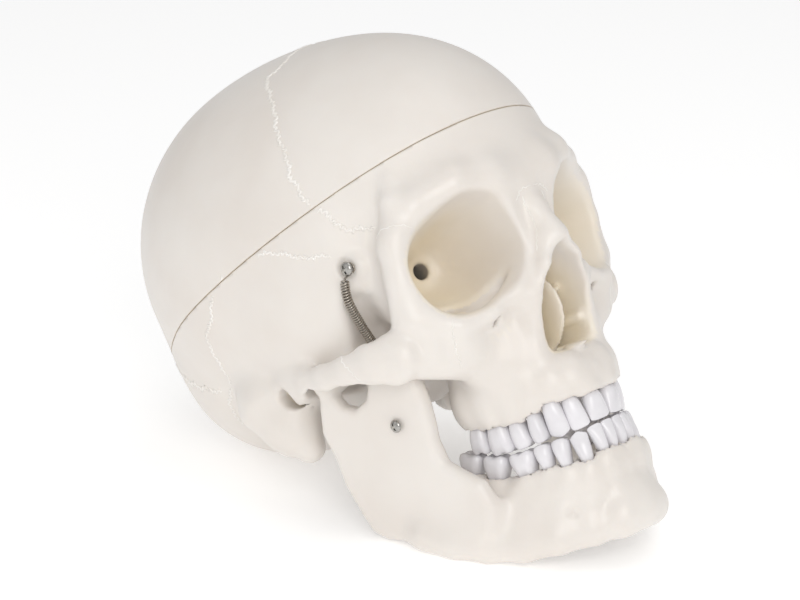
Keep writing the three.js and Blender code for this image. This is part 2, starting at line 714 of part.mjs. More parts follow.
// ---- Metal parts ----
// Screw that stands up along y with a domed head and a cross cut in it. The seat of the head is at 0.
function screw(length) {
  const profile = [[0, -length], [SCREW_SHANK, -length], [SCREW_SHANK, 0], [SCREW_HEAD, 0],
    [SCREW_HEAD, HEAD_RIM], [SCREW_HEAD * 0.72, HEAD_HEIGHT * 0.84], [0, HEAD_HEIGHT]];
  const lathe = new THREE.LatheGeometry(profile.map(([r, h]) => new THREE.Vector2(r, h)), 16);
  const cross = [0, Math.PI / 2].map((turn) => {
    const slot = new THREE.BoxGeometry(SCREW_HEAD * 1.3, HEAD_HEIGHT * 0.84, HEAD_RIM);
    slot.rotateY(turn);
    return solidOf(slot.translate(0, HEAD_HEIGHT, 0));
  });
  return Manifold.difference([solidOf(lathe), ...cross]);
}

// Hexagonal nut that stands up along z.
function hexNut() {
  const shape = new THREE.Shape();
  for (let i = 0; i < 6; i++) {
    const turn = (i * Math.PI) / 3;
    const corner = [NUT_RADIUS * Math.cos(turn), NUT_RADIUS * Math.sin(turn)];
    if (i === 0) shape.moveTo(...corner);
    else shape.lineTo(...corner);
  }
  const hole = new THREE.Path();
  hole.absarc(0, 0, SCREW_SHANK + FIT, 0, 2 * Math.PI, true);
  shape.holes.push(hole);
  const settings = { depth: NUT_THICKNESS, bevelEnabled: false, curveSegments: 8 };
  return solidOf(new THREE.ExtrudeGeometry(shape, settings));
}

// Coil spring of the right side with an eye at each end, drawn as a ridged rod along its bent middle line.
const SPRING_LINE = [[57.2, 47.7, 21.7], [56.3, 45.3, 16], [51.8, 41.2, 7.5], [46.8, 37.6, 0], [43, 35.9, -7],
  [41, 35, -16], [40.3, 34.9, -24.8]];

function springBody() {
  const curve = new THREE.CatmullRomCurve3(SPRING_LINE.map((p) => v3(...p)));
  const steps = SPRING_RIDGES * 2;
  const frames = curve.computeFrenetFrames(steps, false);
  const rings = Array.from({ length: steps + 1 }, (_, i) => {
    const radius = i % 2 ? SPRING_RADIUS : SPRING_RADIUS - WIRE_RADIUS;
    const at = curve.getPointAt(i / steps);
    return Array.from({ length: 8 }, (_, s) => {
      const turn = (Math.PI * s) / 4;
      return at.clone()
        .addScaledVector(frames.normals[i], radius * Math.cos(turn))
        .addScaledVector(frames.binormals[i], radius * Math.sin(turn));
    });
  });
  const eyeRadius = SCREW_SHANK + FIT + WIRE_RADIUS;
  const eyes = [
    [v3(TEMPLE_EYE_X, TEMPLE_SCREW.y, TEMPLE_SCREW.z), v3(...SPRING_LINE[0]), -1],
    [v3(JAW_EYE_X, JAW_SCREW.y, JAW_SCREW.z), v3(...SPRING_LINE.at(-1)), 1],
  ].flatMap(([middle, end, rise]) => {
    const eye = new THREE.TorusGeometry(eyeRadius, WIRE_RADIUS, 6, 12);
    eye.rotateY(Math.PI / 2).translate(...middle.toArray());
    const near = middle.clone().setZ(middle.z + rise * eyeRadius);
    return [solidOf(eye), solidOf(rod(near, end.clone().setZ(end.z + rise * 0.8), WIRE_RADIUS, 6))];
  });
  return Manifold.union([solid(loft(rings)), ...eyes]);
}

// ---- Materials ----
const BONE = { color: 0xe8e1d6, roughness: 0.42, metalness: 0 };
const CAP_BONE = { color: 0xe6e0d8, roughness: 0.4, metalness: 0 };
const ENAMEL = { color: 0xeeedf0, roughness: 0.28, metalness: 0 };
const NICKEL = { color: 0x9a9a98, roughness: 0.3, metalness: 1 };
const SPRING_STEEL = { color: 0x5d5953, roughness: 0.4, metalness: 1 };

// ---- Assembly ----
// Half-space above (side = 1) or below (side = -1) the cap's cut, as a large box.
function besideCut(side) {
  const box = new THREE.BoxGeometry(CUTTER, CUTTER, CUTTER).translate(0, 0, (side * (CUTTER + CUT_GAP)) / 2);
  box.rotateX(Math.atan(CUT_RISE)).translate(0, 0, CUT_HEIGHT);
  return solidOf(box);
}

function without(body, tools) {
  return Manifold.difference([body, ...tools]);
}

function moved(body, matrix) {
  return solidOf(geometryOf(body).applyMatrix4(matrix));
}

function meshOf(name, body, finish) {
  const geometry = geometryOf(body);
  geometry.computeVertexNormals();
  const mesh = new THREE.Mesh(geometry, new THREE.MeshStandardMaterial(finish));
  mesh.name = name;
  return mesh;
}

// The group that holds the skull in its standing pose, and the holes that the small parts need.
const standing = new THREE.Group();
standing.name = "standing_pose";
standing.rotation.set(-THREE.MathUtils.degToRad(TILT), 0, Math.PI);
const holes = { skull: [], jaw: [], cap: [] };

const SIDES = [["right", 1], ["left", -1]];
const ARCHES = [["upper", UPPER_TEETH, 1, "skull"], ["lower", LOWER_TEETH, -1, "jaw"]];
for (const [name, side] of SIDES) {
  for (const [row, kinds, rises, bone] of ARCHES) {
    for (const { kind, gum, turn } of toothPlaces(kinds, rises, side)) {
      const tooth = meshOf(`${row}_${kind[0]}_${name}`, toothSolid(kind, 0), ENAMEL);
      tooth.position.copy(gum);
      tooth.quaternion.copy(turn);
      tooth.updateMatrix();
      standing.add(tooth);
      holes[bone].push(moved(toothSolid(kind, FIT), tooth.matrix));
    }
  }
}

// Screws, nuts and springs, one of each to a side.
const SCREWS = [["temple", TEMPLE_SCREW, TEMPLE_SCREW_LENGTH, "skull"],
  ["jaw", JAW_SCREW, JAW_SCREW_LENGTH, "jaw"]];
for (const [name, side] of SIDES) {
  const onSide = (p) => v3(side * p.x, p.y, p.z);
  for (const [place, at, length, bone] of SCREWS) {
    const part = meshOf(`${place}_screw_${name}`, screw(length), NICKEL);
    part.position.copy(onSide(at));
    part.rotation.z = (-side * Math.PI) / 2;
    standing.add(part);
    const end = at.clone().setX(at.x - length - FIT);
    holes[bone].push(solidOf(rod(onSide(at.clone().setX(at.x + 1)), onSide(end), SCREW_SHANK + FIT)));
  }
  const seat = TEMPLE_SCREW.clone().setX(TEMPLE_EYE_X - WIRE_RADIUS - FIT);
  const seatTop = seat.clone().setX(seat.x + SPOT_FACE_REACH);
  holes.skull.push(solidOf(rod(onSide(seat), onSide(seatTop), SPOT_FACE, 20)));
  const nut = meshOf(`jaw_nut_${name}`, hexNut(), NICKEL);
  nut.position.copy(onSide(v3(NUT_X, JAW_SCREW.y, JAW_SCREW.z)));
  nut.rotation.y = (side * Math.PI) / 2;
  standing.add(nut);
  const spring = springBody();
  standing.add(meshOf(`spring_${name}`, side > 0 ? spring : spring.mirror([1, 0, 0]), SPRING_STEEL));
}

// Pins that locate the cap, square to its cut.
const pinGeometry = (radius, length) => new THREE.CylinderGeometry(radius, radius, length, 12);
for (const [name, x, y] of PIN_SPOTS) {
  const pin = meshOf(`locating_pin_${name}`, solidOf(pinGeometry(PIN_RADIUS, PIN_LENGTH)), NICKEL);
  pin.position.set(x, y, CUT_HEIGHT + CUT_RISE * y);
  pin.rotation.x = Math.PI / 2 + Math.atan(CUT_RISE);
  pin.updateMatrix();
  standing.add(pin);
  const hole = moved(solidOf(pinGeometry(PIN_RADIUS + FIT, PIN_LENGTH + 2 * FIT)), pin.matrix);
  holes.skull.push(hole);
  holes.cap.push(hole);
}

const skull = solid(thin(skin(skullField()), BASE_FACES));
const bones = {
  calvaria: [without(Manifold.intersection([skull, besideCut(1)]), holes.cap), CAP_BONE],
  skull_base: [without(Manifold.intersection([skull, besideCut(-1)]), holes.skull), BONE],
  mandible: [without(solid(thin(skin(jawField()), JAW_FACES)), holes.jaw), BONE],
};

// The pose sets the lowest point FOOT_CUT under the floor and the middle of the skull over the origin.
standing.updateMatrix();
const around = new THREE.Box3();
Object.values(bones).forEach(([body]) => around.union(new THREE.Box3().setFromBufferAttribute(
  geometryOf(moved(body, standing.matrix)).getAttribute("position"))));
const middle = around.getCenter(v3(0, 0, 0));
standing.position.set(-middle.x, -middle.y, -around.min.z - FOOT_CUT);
standing.updateMatrix();
const floor = moved(solidOf(new THREE.BoxGeometry(CUTTER, CUTTER, CUTTER).translate(0, 0, -CUTTER / 2)),
  standing.matrix.clone().invert());
for (const [name, [body, finish]] of Object.entries(bones)) {
  standing.add(meshOf(name, without(body, [floor]), finish));
}

const skullModel = new THREE.Group();
skullModel.name = "skull_model";
skullModel.add(standing);

export default skullModel;
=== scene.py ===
"""A life-size plastic teaching skull: lift-off cap, base with the face, sprung jaw and separate teeth.

The bones are shaped in the skull's own frame, in mm: x to the skull's right, y forward and z up, with the
ear openings on the x axis. to_row() turns them into the row frame, where the skull leans back as it stands.
"""
import json
import math
from collections import namedtuple

import bmesh
import bpy
import numpy as np
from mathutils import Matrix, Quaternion, Vector
from mathutils.bvhtree import BVHTree


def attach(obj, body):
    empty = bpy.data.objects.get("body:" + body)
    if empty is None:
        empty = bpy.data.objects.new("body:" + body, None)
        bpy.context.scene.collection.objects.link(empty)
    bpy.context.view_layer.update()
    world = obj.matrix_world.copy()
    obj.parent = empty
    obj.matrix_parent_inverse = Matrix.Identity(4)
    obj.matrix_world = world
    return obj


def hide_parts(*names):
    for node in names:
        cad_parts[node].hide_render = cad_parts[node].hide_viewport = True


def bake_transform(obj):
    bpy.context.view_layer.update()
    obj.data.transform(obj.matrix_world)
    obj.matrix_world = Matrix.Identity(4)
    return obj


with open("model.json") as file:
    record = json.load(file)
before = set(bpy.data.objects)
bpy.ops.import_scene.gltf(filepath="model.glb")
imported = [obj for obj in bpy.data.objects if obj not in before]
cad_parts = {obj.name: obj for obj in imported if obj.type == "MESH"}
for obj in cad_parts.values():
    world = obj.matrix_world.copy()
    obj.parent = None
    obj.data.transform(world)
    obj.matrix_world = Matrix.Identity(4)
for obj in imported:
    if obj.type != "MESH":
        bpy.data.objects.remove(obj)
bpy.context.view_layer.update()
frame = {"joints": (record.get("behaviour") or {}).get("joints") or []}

# ---- Sizes, mm and degrees ----
TILT = 34.0
HINGE = np.array([0.0, 14.0, -6.0])
SKULL_GRID = 1.2
JAW_GRID = 0.95
SMOOTH_ROUNDS = 3
WALL = 5.0
CUT_HEIGHT = 43.2
CUT_RISE = 0.144
CUT_GAP = 0.16
TEMPLE_SCREW = np.array([55.1, 50.4, 25.8])
TEMPLE_EYE_X = 53.6
SEAT_RADIUS = 4.2
SEAT_DEPTH = 0.75
JAW_SCREW = np.array([50.2, 34.7, -30.5])
JAW_EYE_X = 42.0
NUT_X = 38.9
SPRING_RADIUS = 1.75
WIRE = 0.36
SIDES = ((1, "right"), (-1, "left"))

# ---- The skull's frame in the row frame ----
lean_back = math.radians(TILT)
ROW_FROM_SKULL = np.array([
    [-1, 0, 0],
    [0, -math.cos(lean_back), math.sin(lean_back)],
    [0, math.sin(lean_back), math.cos(lean_back)],
])
hinge_row = next(np.array(j["pos_m"]) for j in frame["joints"] if j["name"] == "jaw_hinge")
ROW_OFFSET = hinge_row - ROW_FROM_SKULL @ HINGE / 1000
CUT_NORMAL = np.array([0, -CUT_RISE, 1.0])
CUT_NORMAL /= np.linalg.norm(CUT_NORMAL)


def to_row(points):
    """Points in the skull's frame, mm, as points in the row frame, m."""
    return np.asarray(points, float) @ ROW_FROM_SKULL.T / 1000 + ROW_OFFSET


def on_floor(points):
    """Points in the row frame, with a flat where the bone would reach below the floor."""
    placed = to_row(points)
    placed[:, 2] = np.maximum(placed[:, 2], 0)
    return placed


def cut_plane(side):
    """A point and the normal of the cap's cut, in the row frame: its middle, or its upper or lower edge."""
    point = np.array([0, 0, CUT_HEIGHT]) + CUT_NORMAL * side * CUT_GAP / 2
    return Vector(to_row([point])[0]), Vector(ROW_FROM_SKULL @ CUT_NORMAL)


# ---- Shaping fields: distance to the surface on a grid, negative inside ----
FAR = 30.0


def round_min(a, b, k):
    """The nearer of two distances, with a blend about k wide where they meet."""
    if k <= 0:
        return np.minimum(a, b)
    h = np.maximum(k - np.abs(a - b), 0) / k
    return np.minimum(a, b) - h * h * k * 0.25


def round_max(a, b, k):
    return -round_min(-a, -b, k)


class Shape:
    """A distance function and the box that holds its surface."""

    def __init__(self, low, high, at):
        self.low = np.array(low, float)
        self.high = np.array(high, float)
        self.at = at


def egg(centre, radii):
    """Ellipsoid."""
    c = np.array(centre, float)
    r = np.array(radii, float)

    def at(x, y, z):
        u, v, w = (x - c[0]) / r[0], (y - c[1]) / r[1], (z - c[2]) / r[2]
        k0 = np.sqrt(u * u + v * v + w * w)
        k1 = np.sqrt((u / r[0]) ** 2 + (v / r[1]) ** 2 + (w / r[2]) ** 2) + 1e-9
        return k0 * (k0 - 1) / k1

    return Shape(c - r, c + r, at)


def bar(points, radii, flat=None, k=0.0):
    """Round bar through points, with a radius at each. flat = (direction, factor) squeezes it."""
    pts = [np.array(p, float) for p in points]
    if flat:
        n = np.array(flat[0], float)
        n /= np.linalg.norm(n)
        squeeze = 1 / flat[1] - 1

    def at(x, y, z):
        out = None
        for p, q, ra, rb in zip(pts[:-1], pts[1:], radii[:-1], radii[1:]):
            d = q - p
            ex, ey, ez = x - p[0], y - p[1], z - p[2]
            t = np.clip((ex * d[0] + ey * d[1] + ez * d[2]) / (d @ d), 0, 1)
            ex, ey, ez = ex - t * d[0], ey - t * d[1], ez - t * d[2]
            if flat:
                w = (ex * n[0] + ey * n[1] + ez * n[2]) * squeeze
                ex, ey, ez = ex + w * n[0], ey + w * n[1], ez + w * n[2]
            e = np.sqrt(ex * ex + ey * ey + ez * ez) - (ra + t * (rb - ra))
            out = e if out is None else round_min(out, e, k)
        return out

    corners = np.array(pts)
    size = max(radii)
    return Shape(corners.min(0) - size, corners.max(0) + size, at)


def along_axes(x, y, z, origin, axes):
    """Places along each of three directions from an origin."""
    ex, ey, ez = x - origin[0], y - origin[1], z - origin[2]
    return [ex * a[0] + ey * a[1] + ez * a[2] for a in axes]


def super_ring(u, v, squareness):
    """1 on an ellipse with squared corners, less inside it. squareness 2 is a plain ellipse."""
    return (np.abs(u) ** squareness + np.abs(v) ** squareness) ** (1 / squareness)


def outline_distance(y, z, outline):
    """Distance to a closed outline, negative inside it."""
    pts = np.array(outline, float)
    nearest, side = None, 1
    for a, b in zip(pts, np.roll(pts, 1, axis=0)):
        e = b - a
        wy, wz = y - a[0], z - a[1]
        t = np.clip((wy * e[0] + wz * e[1]) / (e @ e), 0, 1)
        d = np.hypot(wy - e[0] * t, wz - e[1] * t)
        nearest = d if nearest is None else np.minimum(nearest, d)
        above, below, left = z >= a[1], z < b[1], e[0] * wz > e[1] * wy
        flip = (above & below & left) | (~above & ~below & ~left)
        side = side * np.where(flip, -1, 1)
    return side * nearest


class Field:
    """Distances on a grid over the half where x >= 0. The other half mirrors it."""

    def __init__(self, low, high, step):
        self.step = step
        self.axes = [np.arange(a, b + step / 2, step, dtype=np.float32) for a, b in zip(low, high)]
        self.values = np.full([len(a) for a in self.axes], FAR, np.float32)

    def blend_in(self, shape, margin, change):
        span = []
        for axis, low, high in zip(self.axes, shape.low - margin, shape.high + margin):
            span.append(slice(*np.searchsorted(axis, [low, high])))
        span = tuple(span)
        x = self.axes[0][span[0]][:, None, None]
        y = self.axes[1][span[1]][None, :, None]
        z = self.axes[2][span[2]][None, None, :]
        if self.values[span].size:
            self.values[span] = change(self.values[span], shape.at(x, y, z))

    def add(self, shape, k=4.0, reach=0.0):
        """Joins a shape on. reach widens its box where a later blend is wider than this one."""
        self.blend_in(shape, max(k, reach) + 3 * self.step + 2, lambda old, d: round_min(old, d, k))

    def cut(self, shape, k=2.0):
        self.blend_in(shape, k + 3 * self.step + 2, lambda old, d: round_max(old, -d, k))

    def whole(self):
        """Values and axes over both halves."""
        values = np.concatenate([self.values[:0:-1], self.values], 0)
        x = np.concatenate([-self.axes[0][:0:-1], self.axes[0]])
        return values, [x, self.axes[1], self.axes[2]]


def skin(values, axes):
    """Points and quads around the zero surface: one point in each cell that it crosses."""
    inside = values < 0
    cells = tuple(n - 1 for n in values.shape)
    crossed = np.zeros(cells, bool)
    for i in (0, 1):
        for j in (0, 1):
            for k in (0, 1):
                part = inside[i:cells[0] + i, j:cells[1] + j, k:cells[2] + k]
                crossed |= part != inside[:-1, :-1, :-1]
    where = np.argwhere(crossed)
    number = np.full(cells, -1, np.int64)
    number[crossed] = np.arange(len(where))
    total = np.zeros((len(where), 3))
    count = np.zeros(len(where))
    for corner in np.ndindex(2, 2, 2):
        for d in range(3):
            if corner[d]:
                continue
            end = list(corner)
            end[d] = 1
            a = values[tuple((where + corner).T)]
            b = values[tuple((where + end).T)]
            hit = (a < 0) != (b < 0)
            t = np.where(hit, a / np.where(hit, a - b, 1), 0)
            spot = np.tile(np.array(corner, float), (len(where), 1))
            spot[:, d] += t
            total[hit] += spot[hit]
            count[hit] += 1
    step = axes[0][1] - axes[0][0]
    points = (where + total / count[:, None]) * step + np.array([a[0] for a in axes])
    quads = []
    for d in range(3):
        u, v = (d + 1) % 3, (d + 2) % 3
        low, high = [slice(None)] * 3, [slice(None)] * 3
        low[d], high[d] = slice(0, -1), slice(1, None)
        edges = np.argwhere(inside[tuple(low)] != inside[tuple(high)])
        edges = edges[(edges[:, u] > 0) & (edges[:, v] > 0)]
        edges = edges[(edges[:, u] < values.shape[u] - 1) & (edges[:, v] < values.shape[v] - 1)]
        ring = []
        for du, dv in ((0, 0), (1, 0), (1, 1), (0, 1)):
            cell = edges.copy()
            cell[:, u] -= du
            cell[:, v] -= dv
            ring.append(number[tuple(cell.T)])
        ring = np.stack(ring, 1)
        out = inside[tuple(edges.T)]
        ring[~out] = ring[~out][:, ::-1]
        quads.append(ring)
    return points, np.concatenate(quads)


def smooth(points, quads, rounds):
    """Evens out the grid's steps, pulling in and pushing out in turn so that nothing shrinks."""
    edges = np.concatenate([quads[:, [i, (i + 1) % 4]] for i in range(4)])
    degree = np.bincount(edges.ravel(), minlength=len(points))[:, None]
    for _ in range(rounds):
        for push in (0.5, -0.52):
            total = np.zeros_like(points)
            for axis in range(3):
                total[:, axis] = (
                    np.bincount(edges[:, 0], points[edges[:, 1], axis], len(points))
                    + np.bincount(edges[:, 1], points[edges[:, 0], axis], len(points)))
            points = points + push * (total / degree - points)
    return points


# ---- Bones ----
SKULL_LOW, SKULL_HIGH = (0, -98, -56), (78, 112, 130)
GUM_LINE = [(0, 81.2, -41.5), (6.3, 80.2, -40.3), (12.4, 76.4, -38.3), (17, 70, -38.5), (20.5, 62.4, -39.3),
            (23.3, 54.4, -37.5), (25.3, 47, -34.5)]
RAMUS_HALF = 3.2
SPRING_ROOM = [(52, 45, 12), (45.5, 38.5, 0), (40.5, 36, -14), (39, 36, -32)]


ORBIT_HALF_WIDTH = 21.5
ORBIT_HALF_HEIGHT = 18.6
ORBIT_ROLL = 0.32
ORBIT_SQUARENESS = 2.4
NOSE_HALF_WIDTH = 12
NOSE_FLOOR = -30.3
NOSE_TOP = 4.5


def orbit():
    """Eye socket: a cone with rounded corners that narrows toward the optic canal."""
    apex, mouth = np.array([17.5, 44, 16]), np.array([30.3, 82, 12.2])
    length = np.linalg.norm(mouth - apex)
    axis = (mouth - apex) / length
    across = np.cross(axis, (0, 0, 1))
    across /= np.linalg.norm(across)
    up = np.cross(across, axis)

    def at(x, y, z):
        depth, side, rise = along_axes(x, y, z, apex, (axis, across, up))
        t = depth / length
        u = side * math.cos(ORBIT_ROLL) - rise * math.sin(ORBIT_ROLL)
        v = rise * math.cos(ORBIT_ROLL) + side * math.sin(ORBIT_ROLL)
        grow = 0.14 + 0.86 * np.clip(t, 0, 1.1) ** 0.55
        ring = super_ring(u / (ORBIT_HALF_WIDTH * grow), v / (ORBIT_HALF_HEIGHT * grow), ORBIT_SQUARENESS)
        return round_max((ring - 1) * ORBIT_HALF_HEIGHT * grow, -t * length, 4)

    return Shape((-5, 38, -12), (66, 125, 48), at)


def nose_opening():
    """Pear-shaped opening, narrowing toward the back."""

    def at(x, y, z):
        rise = np.clip((z + 16) / 22, 0, 1.1)
        back = np.clip((88 - y) / 40, 0, 1)
        width = NOSE_HALF_WIDTH * (1 - rise ** 2) * (1 - 0.25 * back)
        d = round_max(np.abs(x) - width, -(z - NOSE_FLOOR - 5 * back), 4)
        return round_max(round_max(d, z - NOSE_TOP, 3), 40 - y, 3)

    return Shape((-15, 38, -34), (16, 120, 8), at)


def braincase():
    """The rounded box of the brain, before the face and the base are joined on."""
    field = Field(SKULL_LOW, SKULL_HIGH, SKULL_GRID)
    field.add(egg((0, 30, 46), (57, 64.5, 62)), 0, reach=26)
    field.add(egg((0, -13, 49), (69.5, 74, 69)), 24)
    field.add(egg((0, -48, 18), (52, 41, 42)), 14)
    field.add(egg((30, 16, 20), (32, 38, 31)), 14)
    return field


def add_face(field):
    field.cut(egg((75, 61, 18), (28, 15, 36)), 6)
    field.cut(egg((58, 58.5, 14), (11, 7, 24)), 5)
    field.add(bar([(0, 89, 32), (13, 90, 33.5), (26, 86.5, 37), (40, 77, 35), (48.5, 68.5, 24.5)],
                  [6.5, 6.5, 5.5, 4.5, 4.5], k=3), 10)
    field.add(bar([(48.5, 68.5, 24.5), (49, 66, 13), (48.5, 64.5, 0)], [4.2, 4.2, 4.5]), 4)
    field.add(bar([(42, 72.5, 47), (45, 73, 40), (48, 71, 28), (49.5, 66.5, 14), (50, 61.5, 2)],
                  [1.2, 2.4, 3.6, 4.4, 5], k=2), 5)
    field.add(egg((42, 59.5, -8), (8.5, 10, 11)), 7)
    field.add(bar([(48, 64, -1), (38, 72.5, -9), (27, 78.5, -9.5), (17, 82, -3), (13, 86, 12), (11, 88, 24)],
                  [4.5, 4, 4, 4, 3.6, 4.5], k=2), 5)
    field.add(egg((14, 59, -20), (18, 22, 21)), 6)
    field.add(egg((31, 65, -14), (12, 9, 10)), 5)
    field.add(bar([(47, 58, -16), (41, 61.5, -19.5), (33, 63, -22), (26, 62, -28)], [5, 4.6, 5, 6]), 6)
    field.add(bar(GUM_LINE, [7.0] * len(GUM_LINE), ((0, 0, 1), 1.35), 2), 5)
    field.add(bar([(0, 87, 29), (0, 91, 19), (0, 97, 7)], [6, 5, 3.6], k=3), 4)
    field.add(bar([(9, 87, 25), (11, 87, 8), (15, 82, -8)], [4, 4, 5.5]), 4)
    field.add(bar([(3, 94, 7), (6.5, 92.5, -1), (11, 86.5, -9), (14, 81, -18), (14, 77, -28)],
                  [3.4, 3.4, 3.6, 4, 4.5], k=2), 4)
    field.add(egg((0, 62, 8), (13, 30, 22)), 6)
    field.add(egg((41, 61, 11), (8, 14, 19)), 6)
    field.add(bar([(0, 80, -31), (0, 89.5, -29.5)], [3, 1.2]), 2)


def add_underside(field):
    field.add(bar([(0, 6, -16), (0, 24, -8), (0, 40, 0)], [9, 10, 11]), 6)
    field.add(bar([(48, 58.5, -9.5), (56, 54, -10), (61, 47, -8), (63, 36, -6), (63, 25, -4.5),
                   (61, 14, -3), (57, 2, -1)], [9, 9, 7, 5, 4.6, 5, 6], ((1, 0.2, 0), 0.5), 2), 4)
    field.add(egg((50, 4, 0), (11, 14, 9)), 6)
    field.add(bar([(50, -20, -2), (50, -16, -13), (50.5, -12.5, -22.8)], [14.5, 11.5, 5.8], k=3), 8)
    field.add(egg((14, -4, -24), (6, 11, 6)), 3)
    field.add(bar([(15, 44, -6), (16.5, 42, -28)], [5, 4], ((1, 0, 0), 0.4)), 3)
    field.add(bar([(44, 50.4, 25.8), (49.5, 50.4, 25.8)], [4.6, 4.6]), 3)


def carve_face(field):
    field.cut(egg((0, 54, -46), (20, 30, 14)), 4)
    field.cut(egg((29, 91, -20), (10, 13, 9)), 8)
    field.cut(nose_opening(), 1.5)
    field.cut(orbit(), 2)
    field.cut(bar(SPRING_ROOM, [4, 6, 7.5, 8], k=3), 6)
    field.cut(egg((50, 14, -7.5), (13, 9, 7)), 2)


def hollow_out(field, brain):
    """The hollow inside follows the braincase, with a floor over the face, the ears and the spine."""
    room = Field(SKULL_LOW, SKULL_HIGH, SKULL_GRID)
    room.add(egg((0, 50, 66), (46, 40, 38)), 0)
    room.add(egg((33, 16, 30), (27, 34, 31)), 8)
    room.add(egg((0, -30, 24), (52, 50, 44)), 8)
    room.add(egg((0, -10, 80), (66, 80, 50)), 10)
    hollow = round_max(brain + WALL, room.values, 6)
    hollow = round_max(hollow, field.values + WALL, 2)
    field.values = round_max(field.values, -hollow, 1.5)


def screw_seat():
    """The flat spot that the temple screw's head and the spring's eye sit on."""
    seat = TEMPLE_EYE_X - SEAT_DEPTH

    def at(x, y, z):
        across = np.hypot(y - TEMPLE_SCREW[1], z - TEMPLE_SCREW[2]) - SEAT_RADIUS
        return round_max(across, seat - x, 0.5)

    return Shape((seat, 44, 20), (70, 57, 32), at)


RING_STOPS = 13


def ring_bar(centre, axis, radius, thick):
    """Thin ring, the raised lip of a hole."""
    axis = np.array(axis, float) / np.linalg.norm(axis)
    across = np.cross(axis, (0, 0, 1))
    across /= np.linalg.norm(across)
    up = np.cross(across, axis)
    turn = np.linspace(0, 2 * math.pi, RING_STOPS)
    stops = [np.array(centre) + radius * (math.cos(t) * across + math.sin(t) * up) for t in turn]
    return bar(stops, [thick] * len(stops))


def add_fine_shapes(field):
    """The small shapes of the face: nose plates, holes for nerves and the lip of the optic canal."""
    field.add(egg((0, 64, -13), (1.0, 21, 17.5)), 2)
    field.add(bar([(10.5, 80, -21), (8.5, 66, -20), (8, 56, -19)], [1.6, 2.6, 3], k=1), 2)
    field.add(bar([(8, 78, -9), (6.6, 66, -8), (6, 56, -7)], [1.2, 2.0, 2.4], k=1), 2)
    field.add(ring_bar((17.6, 44.6, 17.4), (8.5, 21, 0.5), 4.3, 0.7), 2)
    field.cut(bar([(25.5, 82, -14), (26.5, 72, -9.5)], [1.6, 1.3]), 0.8)
    field.cut(bar([(18, 82, 32), (18, 90, 34.5)], [1.4, 1.6]), 1)
    field.cut(bar([(43, 71, 2.5), (38, 62, 4)], [1.3, 1.1]), 0.8)


def skull_field():
    field = braincase()
    brain = field.values.copy()
    add_face(field)
    add_underside(field)
    carve_face(field)
    hollow_out(field, brain)
    field.cut(bar([(18.5, 47, 17.5), (10, 26, 17)], [3.3, 3.3]), 1)
    field.cut(bar([(70, -3, -3), (42, -4, -6)], [4, 4]), 1)
    field.cut(bar([(0, -14, -60), (0, -14, 0)], [16, 16]), 2)
    field.cut(screw_seat(), 0.8)
    add_fine_shapes(field)
    return field


def jaw_field():
    """The mandible: a bowed body between two edges and a flat ramus that rises to the hinge."""
    field = Field((0, -10, -110), (74, 106, 16), JAW_GRID)
    upper = [(0, 78, -73.5), (6.5, 77.2, -73.3), (12.8, 73.5, -73.8), (17.3, 67.3, -73.3), (20.8, 60, -72.3),
             (23.8, 52, -71), (26.3, 44, -68), (28.5, 36, -62.5)]
    lower = [(0, 75.5, -91.5), (7, 74, -91.8), (15, 67.5, -91), (23.5, 58.5, -89), (30, 48, -86.5),
             (36, 37, -82), (41, 28, -76.5), (44.5, 19, -70)]
    middle = [tuple((np.array(a) + b) / 2) for a, b in zip(upper, lower)]
    field.add(bar(upper, [6.2, 6.2, 6, 6.2, 6.2, 6.5, 6.5, 6], k=2), 0)
    field.add(bar(lower, [7.3, 6.4, 6.5, 6.5, 6.5, 6, 5.5, 5], k=2), 6)
    field.add(bar(middle, [4.5, 4.5, 5, 5.5, 6, 6, 6, 6], k=2), 6)
    field.add(egg((0, 79, -90), (10, 5.2, 7.5)), 6)
    field.add(egg((8, 75, -92.5), (5.5, 5, 5)), 5)
    outline = [(12, -5), (7, -12), (2, -21), (1.5, -31), (-0.8, -42), (-0.8, -53), (-0.2, -61), (4, -65.5),
               (10, -68.5), (17, -70.5), (24, -75), (34, -80), (46, -78), (52, -70), (52, -61), (46, -54),
               (42.5, -49), (43.5, -41), (46, -35), (48.7, -26.6), (50, -19), (49.5, -12), (47, -4),
               (43, -1.5), (37, -5), (31.5, -12), (27, -17), (20.5, -18.5), (16, -15.5), (14.5, -10),
               (16.5, -5)]

    def ramus(x, y, z):
        off_middle = np.abs(x - (50.5 - 0.17 * (y - 8) + 0.14 * (z + 32)))
        return round_max(outline_distance(y, z, outline) + 0 * x, off_middle - RAMUS_HALF, 3)

    field.add(Shape((36, -5, -85), (62, 62, 8), ramus), 6)
    field.add(egg((50, 14, -6), (9.5, 5, 4)), 3)
    field.cut(egg((23, 69.8, -84), (1.6, 1.8, 1.2)), 1.5)
    return field


# ---- Materials ----
# The tan along the cap's cut: its share beside the cut and the distances, in m, over which it fades.
CUT_TAN_SHARE = 0.6
CUT_TAN_REACH = (0.0001, 0.0005)


